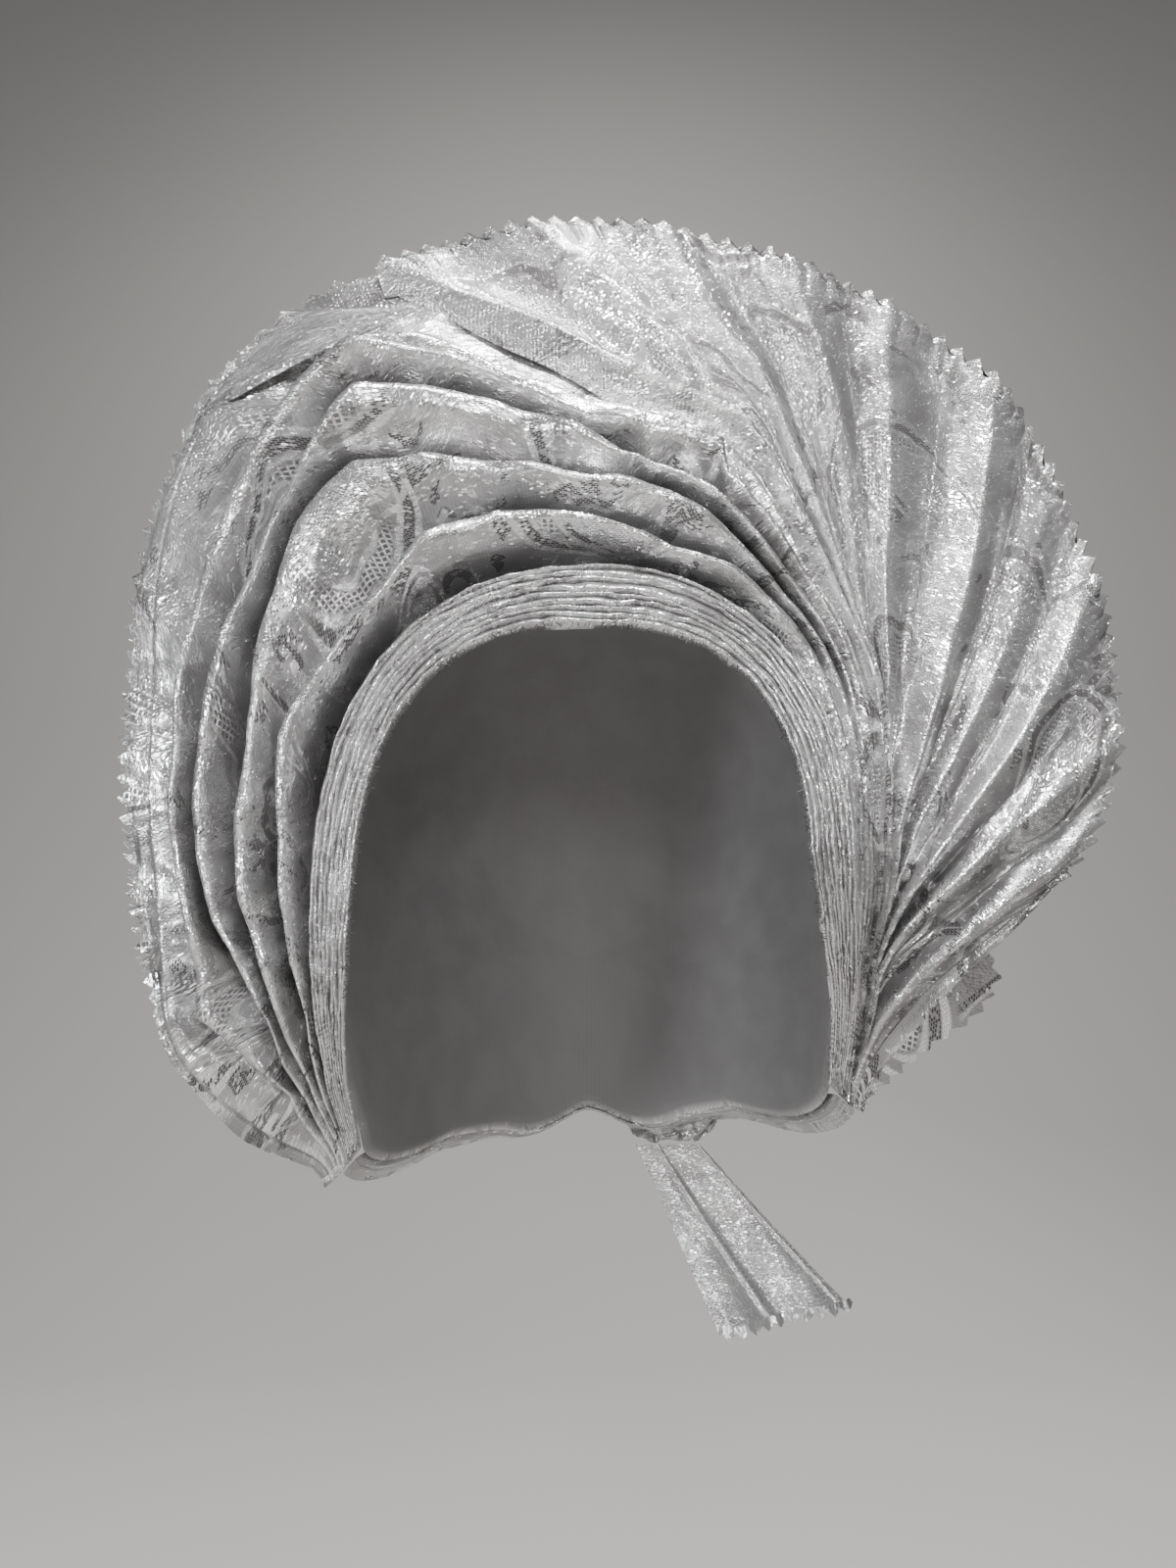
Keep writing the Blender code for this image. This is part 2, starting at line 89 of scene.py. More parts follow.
# The cloth: its wall, its pinking and its pattern
CLOTH = 0.0007
TOOTH_DEPTH = 0.0040
NOTCH_ROW = 0.0006
MOTIF_SCALE = 1.5
MOTIF_DRIFT = 0.012
OVAL_PITCH = (0.047, 0.056)
OVAL_HALF_WIDTH = 0.0130
OVAL_HALF_LENGTH = 0.0225
BEAD_PITCH = 0.0042
NET_PITCH = 0.0018
RIB_PITCH = 0.0010
FOIL_LENGTH = 0.0014
FOIL_PITCH = 0.00075
TURN = 2 * math.pi
NEUTRAL = (1.0, 1.0, 1.0)

# The camera and the studio
LENS = (26.0, 36.0)
CAMERA_PLACE = (0.0, -0.355, -0.144)
CAMERA_PITCH = 15.0
FLOOR_HEIGHT = -0.42
BEND_START = 0.9
BEND_RADIUS = 1.1
WALL_TOP = 9.0
ROOM_HALF_WIDTH = 40.0

# Round the face opening: angle, opening, band, reach, setback and relief, in the frame's own terms
STATIONS = np.array((
    (-34, 0.13, 0.25, 0.065, 0.45, 0.03),
    (-12, 0.42, 0.42, 0.21, 0.90, 0.06),
    (15, 0.54, 0.62, 0.605, 1.0, 0.10),
    (38, 0.48, 0.72, 0.785, 1.0, 0.25),
    (56, 0.46, 0.82, 0.93, 1.0, 0.55),
    (74, 0.49, 0.95, 0.965, 1.0, 1.0),
    (90, 0.51, 1.0, 1.0, 1.0, 1.0),
    (102, 0.49, 0.97, 0.975, 1.0, 1.0),
    (114, 0.48, 0.90, 0.945, 1.0, 1.0),
    (126, 0.45, 0.84, 0.855, 1.0, 1.0),
    (138, 0.43, 0.76, 0.715, 1.0, 1.0),
    (154, 0.41, 0.67, 0.54, 1.0, 1.0),
    (178, 0.39, 0.58, 0.41, 1.0, 0.9),
    (195, 0.35, 0.50, 0.355, 1.0, 0.7),
    (210, 0.19, 0.35, 0.25, 0.90, 0.4),
    (224, -0.02, 0.25, 0.085, 0.45, 0.1),
))
COLUMN = {"opening": 1, "band": 2, "reach": 3, "setback": 4, "relief": 5}

# Each fold's crest round the face: angle, share of the halo, height as a share of FOLD_RELIEF
FIRST_FOLD = np.array((
    (-34, .08, .03), (-12, .03, .05), (15, .023, .12), (38, .045, .3), (49, .064, .5), (64, .066, .6),
    (77, .053, .7), (90, .093, .8), (97, .115, .85), (103, .124, .85), (114, .130, 1.0), (122, .100, .7),
    (135, .100, .7), (151, .190, .9), (166, .150, .7), (184, .100, .6), (200, .070, .4), (224, .10, .1),
))
SECOND_FOLD = np.array((
    (-34, .18, .03), (-12, .07, .05), (15, .05, .14), (43, .103, .4), (57, .102, .6), (69.5, .135, .8),
    (79.5, .186, 1.0), (90, .199, .9), (100, .250, .9), (112.6, .348, 1.05), (117.6, .424, 1.1),
    (125, .428, .9), (134, .381, .95), (154, .333, .85), (166, .352, .9), (179, .335, .9), (190, .24, .8),
    (199, .200, .7), (210, .17, .4), (224, .28, .1),
))
THIRD_FOLD = np.array((
    (-34, .28, .03), (-12, .11, .05), (15, .075, .12), (30, .100, .3), (43, .135, .5), (54, .145, .7),
    (63.4, .160, .9), (75, .225, .9), (84, .259, 1.15), (94.6, .367, .9), (103, .464, .9),
    (114, .588, 1.15), (126, .500, .9), (136, .475, .9), (148, .520, 1.0), (161, .561, .9), (172, .560, .9),
    (181, .500, .8), (186, .40, .9), (198, .300, .8), (204, .27, .7), (212, .26, .4), (224, .45, .1),
))
OUTER_FOLD = np.array((
    (-34, .38, .03), (-12, .15, .05), (15, .10, .10), (38, .165, .3), (50, .190, .5), (59, .210, .7),
    (68, .265, .8), (72.5, .310, .9), (74, .387, 1.1), (82, .370, .9), (90, .400, .8), (98.4, .505, .9),
    (105.9, .612, 1.0), (112.5, .732, 1.2), (121, .714, .9), (129, .679, .9), (141, .665, .9),
    (150, .683, 1.0), (159.5, .690, .9), (170, .702, .8), (181, .640, 1.0), (188, .65, 1.0),
    (194, .720, 1.1), (200, .540, .9), (210, .380, .6), (224, .58, .1),
))
LAP_FOLD = np.array((
    (-34, .42, .0), (-12, .17, .0), (15, .11, .0), (38, .18, .0), (59, .25, .0), (74, .45, .0),
    (90, .50, .0), (98, .60, .05), (104, .735, .15), (105.5, .755, .20), (112, .83, .22), (115, .88, .20),
    (119, .935, .15), (123, .965, .10), (128, .96, .05), (141, .93, .0), (160, .90, .0), (176, .90, .05),
    (186, .90, .35), (193, .92, .75), (199, .92, .95), (206, .88, .95), (212, .80, .8), (224, .75, .2),
))
FOLDS = (FIRST_FOLD, SECOND_FOLD, THIRD_FOLD, OUTER_FOLD, LAP_FOLD)

# How far the fan covers the folds: angle and share
FAN_EDGE = np.array((
    (-34, .55), (-12, .22), (15, .145), (28, .17), (39.8, .225), (48, .237), (53, .262), (57.3, .30),
    (62.5, .354), (67, .421), (71, .498), (73.3, .536), (80, .551), (87.7, .61), (94.8, .711),
    (101.4, .796), (107, .92), (111, 1.0), (224, 1.0),
))

# The fan's crests: hem angle, bend of the line, height as a share of FAN_RELIEF
PLEATS = np.array((
    (108.0, 30.0, 0.55), (97.0, 14.0, 0.30), (84.0, 11.0, 0.70), (74.0, 10.5, 0.40), (64.0, 10.0, 0.80),
    (53.0, 5.0, 1.0), (43.0, 4.2, 0.70), (33.0, 3.4, 1.1), (19.0, 2.9, 1.2), (9.0, 1.1, 1.0), (4.0, 0.0, 0.30),
))
ROOT_SHARE = 0.04

# One pleat of the band across its width: share and height
PLEAT_SHAPE = ((0.02, -0.95), (0.06, 0.35), (0.14, 0.95), (0.30, 1.0), (0.52, 0.72), (0.74, 0.42),
               (0.92, 0.12), (0.985, -0.55))


# ---- curves and fields

def smooth_curve(table, column, at):
    """A column of a table at many places, on a curve that never overshoots."""
    x, y = table[:, 0], table[:, column]
    if x[0] > x[-1]:
        x, y = x[::-1], y[::-1]
    slope = np.diff(y) / np.diff(x)
    tangent = np.zeros_like(y)
    product = slope[1:] * slope[:-1]
    total = slope[1:] + slope[:-1]
    tangent[1:-1] = np.where(product > 0, 2 * product / np.where(total == 0, 1, total), 0)
    at = np.clip(at, x[0], x[-1])
    i = np.clip(np.searchsorted(x, at, side="right") - 1, 0, len(x) - 2)
    w = x[i + 1] - x[i]
    t = (at - x[i]) / w
    rise = t * t * (3 - 2 * t)
    return (y[i] + (y[i + 1] - y[i]) * rise + t * (1 - t) ** 2 * w * tangent[i]
            - t * t * (1 - t) * w * tangent[i + 1])


def crisp_curve(table, column, at, soft=1.2):
    """A column of a table with corners kept, each rounded over a few degrees."""
    x, y = table[:, 0], table[:, column]
    return sum(np.interp(at + d * soft, x, y) for d in (-1, -0.5, 0, 0.5, 1)) / 5


def station(name, angle):
    return smooth_curve(STATIONS, COLUMN[name], angle)


def grown(x, start, end, least=0.0):
    """A share that goes from least at start to 1 at end, straight."""
    return np.clip((x - start) / (end - start), least, 1)


def together(*parts):
    """Coordinates put together as the last axis."""
    return np.stack(np.broadcast_arrays(*parts), axis=-1)


def lattice(i, j, seed):
    h = np.sin(i * 127.1 + j * 311.7 + seed * 74.7) * 43758.5453
    return h - np.floor(h)


def soft_noise(u, v, seed=0.0):
    """Value noise from -1 to 1, one cell a unit."""
    i, j = np.floor(u), np.floor(v)
    fu, fv = u - i, v - j
    fu, fv = fu * fu * (3 - 2 * fu), fv * fv * (3 - 2 * fv)
    low = lattice(i, j, seed) * (1 - fu) + lattice(i + 1, j, seed) * fu
    high = lattice(i, j + 1, seed) * (1 - fu) + lattice(i + 1, j + 1, seed) * fu
    return 2 * (low * (1 - fv) + high * fv) - 1


def kinked_noise(x, seed=0.0):
    """Straight stretches between random heights from -1 to 1, one stretch a unit."""
    i = np.floor(x)
    return 2 * (lattice(i, 0, seed) * (i + 1 - x) + lattice(i + 1, 0, seed) * (x - i)) - 1


def crinkle(u, v, seed=0.0):
    """Creased noise: sharp ridges between soft hollows, about -1 to 1."""
    total, size = 0.0, 1.0
    for octave in range(3):
        total = total + size * (1 - 2 * np.abs(soft_noise(u * 2 ** octave, v * 2 ** octave, seed + octave * 9)))
        size *= 0.5
    return total / 1.75


# ---- places round the face

def head_radius(angle, y, offset=0.0):
    c, s = np.cos(np.radians(angle)), np.sin(np.radians(angle))
    tall = np.where(s > 0, HEAD_VAULT, HEAD_DROP) + offset
    depth = np.sqrt(np.maximum(1 - (y / (HEAD_HALF_LENGTH + offset)) ** 2, 0))
    wide = np.abs(c / (HEAD_HALF_WIDTH + offset)) ** HEAD_ROUNDNESS
    high = np.abs(s / tall) ** HEAD_ROUNDNESS
    return depth / (wide + high) ** (1 / HEAD_ROUNDNESS)


def place(angle, radius, y):
    a = np.radians(angle)
    return together(radius * np.cos(a), y, radius * np.sin(a) - HEAD_VAULT)


def band_inner(angle):
    y = -station("opening", angle) * HEAD_HALF_LENGTH
    return head_radius(angle, y), y


def band_outer(angle):
    radius, y = band_inner(angle)
    share = station("band", angle)
    return radius + BAND_WIDTH * share, y + BAND_SETBACK * np.minimum(1.0, 0.5 + share / 2)


def halo(angle, reach, lift):
    """A point of the halo, reach metres outside the band and lift metres in front of the base surface."""
    radius, y = band_outer(angle)
    full = HALO_REACH * station("reach", angle)
    base = y + HALO_SETBACK * station("setback", angle) * (0.85 + 0.15 * reach / full)
    return place(angle, radius + reach, base - lift)


# ---- meshes

def new_object(name, data):
    made = bpy.data.objects.new(name, data)
    bpy.context.scene.collection.objects.link(made)
    return made


def shade(piece, sharp_degrees):
    piece.data.shade_smooth()
    piece.data.set_sharp_from_angle(angle=math.radians(sharp_degrees))


def grid_mesh(name, points, uv, marks=None, closed_rows=False, closed_columns=False):
    """A surface through a grid of points, rows by columns, with its cloth coordinates in metres."""
    rows, columns = points.shape[:2]
    r = np.arange(rows if closed_rows else rows - 1)
    c = np.arange(columns if closed_columns else columns - 1)
    rr, cc = np.meshgrid(r, c, indexing="ij")
    r2, c2 = (rr + 1) % rows, (cc + 1) % columns
    quads = together(rr * columns + cc, rr * columns + c2, r2 * columns + c2, r2 * columns + cc).reshape(-1, 4)
    mesh = bpy.data.meshes.new(name)
    mesh.vertices.add(rows * columns)
    mesh.vertices.foreach_set("co", points.reshape(-1).astype(np.float32))
    mesh.loops.add(len(quads) * 4)
    mesh.loops.foreach_set("vertex_index", quads.reshape(-1).astype(np.int32))
    mesh.polygons.add(len(quads))
    mesh.polygons.foreach_set("loop_start", np.arange(0, len(quads) * 4, 4, dtype=np.int32))
    layer = mesh.uv_layers.new(name="cloth")
    flat = np.broadcast_to(uv, (rows, columns, 2)).reshape(-1, 2)[quads.reshape(-1)]
    layer.data.foreach_set("uv", flat.reshape(-1).astype(np.float32))
    for key, values in (marks or {}).items():
        attribute = mesh.attributes.new(key, "FLOAT", "POINT")
        attribute.data.foreach_set("value", np.broadcast_to(values, (rows, columns)).reshape(-1).astype(np.float32))
    mesh.update(calc_edges=True)
    mesh.validate()
    mesh.shade_smooth()
    return new_object(name, mesh)


def convert(piece):
    """Turn the piece's modifiers into its mesh."""
    bpy.context.view_layer.update()
    made = bpy.data.meshes.new_from_object(piece.evaluated_get(bpy.context.evaluated_depsgraph_get()))
    piece.modifiers.clear()
    old, piece.data = piece.data, made
    bpy.data.meshes.remove(old)
    made.name = piece.name


def give_wall(piece, thickness, offset):
    wall = piece.modifiers.new("wall", "SOLIDIFY")
    wall.thickness = thickness
    wall.offset = offset
    wall.use_even_offset = False
    convert(piece)
    shade(piece, 70)


def lengths(points, axis):
    """How far each point is along its row or column of the cloth."""
    steps = np.linalg.norm(np.diff(points, axis=axis), axis=-1)
    first = np.zeros_like(np.take(steps, [0], axis=axis))
    return np.cumsum(np.concatenate([first, steps], axis=axis), axis=axis)


def teeth(count, per_tooth):
    """A row's offset for pinking, from 0 at a notch to 1 at a tip."""
    k = np.arange(count) % per_tooth
    half = per_tooth / 2
    return 1 - np.abs(k - half) / half


def pink_hem(reach, pink, notch_row=NOTCH_ROW):
    """Move the last row out to the tips of the teeth, and the row before it to just inside the notches."""
    reach[-1] = reach[-1] + pink
    reach[-2] = reach[-1] - pink - notch_row


def spline_rows(nodes, steps, ease=0.22):
    """Rows through nodes, each a row of places with two coordinates; steps says how many follow each node."""
    padded = [2 * nodes[0] - nodes[1]] + list(nodes) + [2 * nodes[-1] - nodes[-2]]
    rows = []
    for a, b, c, d, count in zip(padded, padded[1:], padded[2:], padded[3:], steps):
        for k in range(count):
            t = k / count
            m0, m1 = ease * (c - a), ease * (d - b)
            rows.append((2 * t ** 3 - 3 * t ** 2 + 1) * b + (t ** 3 - 2 * t ** 2 + t) * m0
                        + (3 * t ** 2 - 2 * t ** 3) * c + (t ** 3 - t ** 2) * m1)
    rows.append(nodes[-1])
    return np.array(rows)


# ---- shader maths

class Value:
    """A shader socket that can be used in Python expressions."""

    def __init__(self, tree, socket):
        self.tree, self.socket = tree, socket

    def maths(self, operation, *others, **settings):
        return out(node(self.tree, "ShaderNodeMath", dict(operation=operation, **settings),
                        dict(enumerate((self,) + others))))

    def __add__(self, o): return self.maths("ADD", o)
    def __sub__(self, o): return self.maths("SUBTRACT", o)
    def __mul__(self, o): return self.maths("MULTIPLY", o)
    def __truediv__(self, o): return self.maths("DIVIDE", o)
    def __radd__(self, o): return constant(self.tree, o).maths("ADD", self)
    def __rsub__(self, o): return constant(self.tree, o).maths("SUBTRACT", self)
    def __rmul__(self, o): return constant(self.tree, o).maths("MULTIPLY", self)

    def fraction(self): return self.maths("FRACT")
    def whole(self): return self.maths("FLOOR")
    def size(self): return self.maths("ABSOLUTE")
    def wave(self): return self.maths("SINE")
    def cosine(self): return self.maths("COSINE")
    def root(self): return self.maths("SQRT")
    def most(self, o): return self.maths("MAXIMUM", o)
    def held(self): return self.maths("ADD", 0.0, use_clamp=True)

    def step(self, low, high):
        """0 below low and 1 above high, smooth between; it falls where low is above high."""
        return out(node(self.tree, "ShaderNodeMapRange", {"interpolation_type": "SMOOTHSTEP"},
                        {"Value": self, "From Min": low, "From Max": high}))

    def band(self, middle, half, soft):
        """1 within half of middle and 0 beyond it."""
        return (self - middle).size().step(half + soft, half)


def feed(made, sockets):
    """Link or set some of a node's inputs."""
    for key, value in sockets.items():
        if isinstance(value, Value):
            made.id_data.links.new(value.socket, made.inputs[key])
        else:
            made.inputs[key].default_value = value


def node(tree, kind, settings=None, sockets=None):
    """Any node: its settings, then the values or links of its sockets."""
    made = tree.nodes.new(kind)
    for key, value in (settings or {}).items():
        setattr(made, key, value)
    feed(made, sockets or {})
    return made


def out(made, key=0):
    return Value(made.id_data, made.outputs[key])


def constant(tree, number):
    return out(node(tree, "ShaderNodeMath", {"operation": "ADD"}, {0: float(number), 1: 0.0}))


def mixed(tree, factor, one, other):
    """Two colours mixed by a factor."""
    return out(node(tree, "ShaderNodeMix", {"data_type": "RGBA"}, {0: factor, 6: one, 7: other}), 2)


def grey(level, tint=(1.0, 0.975, 0.985)):
    return (level * tint[0], level * tint[1], level * tint[2], 1.0)


def texture(kind, coordinates, **sockets):
    """A 2D texture on the cloth: its value, then its colour's three numbers."""
    made = node(coordinates.tree, kind, {"noise_dimensions": "2D"}, {"Vector": coordinates, **sockets})
    parts = node(made.id_data, "ShaderNodeSeparateColor", {}, {0: out(made, 1)})
    return out(made), out(parts, 0), out(parts, 1), out(parts, 2)


def cell_chance(across, along):
    """Random numbers for a cell that two whole numbers name."""
    return texture("ShaderNodeTexWhiteNoise",
                   out(node(across.tree, "ShaderNodeCombineXYZ", {}, {0: across, 1: along})))


def distance(x, y):
    return (x * x + y * y).root()


def mark(tree, name):
    """A number that the mesh keeps at each of its points."""
    return out(node(tree, "ShaderNodeAttribute", {"attribute_name": name}), 2)


def new_material(name):
    """An empty material, its tree and its shader."""
    material = bpy.data.materials.new(name)
    material.use_nodes = True
    return material, material.node_tree, material.node_tree.nodes["Principled BSDF"]


def jacquard(name, ground=0.33, motifs=1.0, glitter=1.0, sheer=False, reverse_and_shade=False):
    """Silver jacquard: satin ground, foil threads in ovals, net and small drops, dark thread dashes; painted
    highlights along crests and edges, and painted shade on the crown's inside.
    """
    material, tree, shader = new_material(name)
    cloth = out(node(tree, "ShaderNodeUVMap", {"uv_map": "cloth"}))
    parts = node(tree, "ShaderNodeSeparateXYZ", {}, {0: cloth})
    u, v = out(parts, 0), out(parts, 1)
    wide, drift_u, drift_v, flow = texture("ShaderNodeTexNoise", cloth, Scale=21.0, Detail=1.0)
    patch, cloud, crease, wisp = texture("ShaderNodeTexNoise", cloth, Scale=58.0, Detail=2.0)
    wu = u / MOTIF_SCALE + (drift_u - 0.5) * MOTIF_DRIFT
    wv = v / MOTIF_SCALE + (drift_v - 0.5) * MOTIF_DRIFT

    # one oval to a cell of a half-drop lattice, each turned its own way
    column = (wu / OVAL_PITCH[0]).whole()
    drop = wv / OVAL_PITCH[1] + (column * 0.5).fraction()
    luck, luck_a, luck_b, luck_c = cell_chance(column, drop.whole())
    x = ((wu / OVAL_PITCH[0]).fraction() - 0.5) * OVAL_PITCH[0]
    y = (drop.fraction() - 0.5) * OVAL_PITCH[1]
    turn = (luck_a - 0.5) * 2.2 + luck_b.step(0.49, 0.51) * math.pi
    tx, ty = x * turn.cosine() + y * turn.wave(), y * turn.cosine() - x * turn.wave()
    oval = distance(tx / (OVAL_HALF_WIDTH * (1.0 + ty * 24.0)), ty / (OVAL_HALF_LENGTH + (luck_c - 0.5) * 0.005))
    rim = oval.band(1.0, 0.028, 0.03).most(oval.band(0.80, 0.018, 0.03) * 0.8)
    heart = distance((tx - 0.0012) / 0.0058, (ty + 0.004) / 0.0120)
    filled = heart.step(1.04, 0.98)
    halo_line = heart.band(1.28, 0.05, 0.04) * 0.7
    crescent = oval.band(0.91, 0.095, 0.02) * (tx * 60.0 + ty * 45.0 + (luck - 0.5)).step(-0.35, 0.05)
    belly = oval.step(0.76, 0.72) * heart.step(1.34, 1.44) * (ty * 110.0 + (luck_b - 0.5)).step(0.0, 0.2)

    # drops, scrolls and specks in between
    drops = distance((x - 0.0175) / 0.0026, (y - 0.0170) / 0.0058).step(1.06, 0.94)
    drops = drops.most(distance((x + 0.0180) / 0.0018, (y + 0.0190) / 0.0042).step(1.06, 0.94))
    beads_across = (x + 0.0205 + (flow - 0.5) * 0.012) / BEAD_PITCH
    beads = distance((wv / BEAD_PITCH).fraction() - 0.5, beads_across).step(0.34, 0.26) * wide.step(0.50, 0.52)
    outside = oval.step(1.08, 1.16)
    scroll = flow.band(0.52, 0.008, 0.006) * outside
    scroll_shadow = flow.band(0.550, 0.018, 0.006) * outside * wide.step(0.44, 0.48)
    patches = patch.step(0.635, 0.65) * outside

    # foil floats lie in bricks, each tilted a little its own way
    row = v / FOIL_PITCH
    brick_u = u / FOIL_LENGTH + row.whole() * 0.5
    chance, tilt_a, tilt_b, gleam = cell_chance(brick_u.whole(), row.whole())
    part_u, part_v = brick_u.fraction() - 0.5, row.fraction() - 0.5
    brick = part_u.size().step(0.46, 0.36) * part_v.size().step(0.46, 0.30)
    net = (u * (TURN / NET_PITCH)).cosine().most((v * (TURN / NET_PITCH)).cosine()).step(0.25, 0.75)
    # Painted highlight: a point mark that is high along crests and edges; it lightens the colour there and adds
    # foil specks
    painted_glint = mark(tree, "painted_glint")
    lucky = chance + painted_glint * (0.26 + patch * 0.35)
    stray = lucky.step(0.976, 0.980) * glitter + cloud.step(0.52, 0.62) * lucky.step(0.93, 0.94) * glitter * 0.6

    foil = filled.most(drops).most(patches * 0.6).held() * brick
    foil = foil.most(rim * (0.45 + brick * 0.55)).most(halo_line).most(beads)
    foil = foil.most(belly * net * 0.8).most(scroll * 0.4) * motifs
    foil = foil.most(stray * brick).held()
    hatch = (part_u.size().step(0.48, 0.36) * part_v.size().step(0.46, 0.34)) * chance.step(0.12, 0.16)
    dark = (crescent * hatch).most(belly * (1.0 - net) * 0.7).most(scroll_shadow * hatch).most(
        wisp.step(0.63, 0.65) * hatch)
    dark = (dark * motifs * (1.0 - foil)).held()
    # the crown's inside: the cloth's reverse, without foil or dark threads
    if reverse_and_shade:
        inner = mark(tree, "reverse_and_shade")
        foil, dark = foil * (1.0 - inner), dark * (1.0 - inner)

    tone = mixed(tree, cloud.step(0.25, 0.75), grey(ground * 0.86), grey(ground * 1.12, NEUTRAL))
    rib = (u * (TURN / RIB_PITCH) + (wisp - 0.5) * 3.0).wave()
    tone = mixed(tree, (rib * 0.05 + 0.05).held(), tone, grey(0.85))
    # painted highlight: the colour goes towards near white where the crest mark is high
    tone = mixed(tree, (painted_glint * (cloud * 0.9 + 0.05)).held(), tone, grey(0.92, NEUTRAL))
    tone = mixed(tree, foil * (0.70 + gleam * 0.30), tone, grey(0.95, NEUTRAL))
    tone = mixed(tree, dark, tone, grey(0.06, (1.0, 0.96, 0.95)))
    height = (rib * 0.000006 + (crease - 0.5) * 0.0009 + (patch - 0.5) * 0.0005
              + brick * (part_u * (tilt_a - 0.5) * 0.00045 + part_v * (tilt_b - 0.5) * 0.00030))
    # painted shade inside the crown: its colour darkened towards 0.14 grey
    if reverse_and_shade:
        tone = mixed(tree, inner * 0.8, tone, grey(0.14))
        height = height * (1.0 - inner * 0.7)
    metallic = (0.80 + foil * 0.19 - dark * 0.4).held()
    roughness = 0.31 - painted_glint * 0.05 - foil * (0.13 - (gleam - 0.5) * 0.16) + dark * 0.15
    roughness = (roughness + (cloud - 0.5) * 0.14).held()
    if reverse_and_shade:
        metallic, roughness = metallic * (1.0 - inner * 0.7), roughness + inner * 0.35
    bump = node(tree, "ShaderNodeBump", {}, {"Strength": 1.0, "Distance": 1.0, "Height": height})
    feed(shader, {"Base Color": tone, "Metallic": metallic, "Roughness": roughness, "Normal": out(bump),
                  "Sheen Weight": 0.12, "Sheen Roughness": 0.35})
    if sheer:
        feed(shader, {"Alpha": (1.0 - mark(tree, "sheer") * (1.0 - foil) * (1.0 - dark) * 0.36).held()})
    return material


# ---- the pieces

def fold_curves(angle):
    """Each fold's crest, as reach and lift in metres, at many angles, innermost first."""
    full = HALO_REACH * station("reach", angle)
    share = station("relief", angle)
    crests, last = [], 0.0
    for number, table in enumerate(FOLDS):
        wander = (0.0006 + 0.0020 * grown(angle, 184, 194)) * share
        wander = wander * kinked_noise(angle / 7.3 + number * 0.4, number * 13.0)
        reach = crisp_curve(table, 1, angle, 0.22) * full + wander
        reach = np.maximum(reach, last + 0.0012)
        uneven = 1 + 0.16 * kinked_noise(angle / 6.1, number + 40.0)
        lift = crisp_curve(table, 2, angle, 0.22) * FOLD_RELIEF * share * uneven
        crests.append((reach, lift))
        last = reach
    return crests, full, FOLD_RELIEF * share


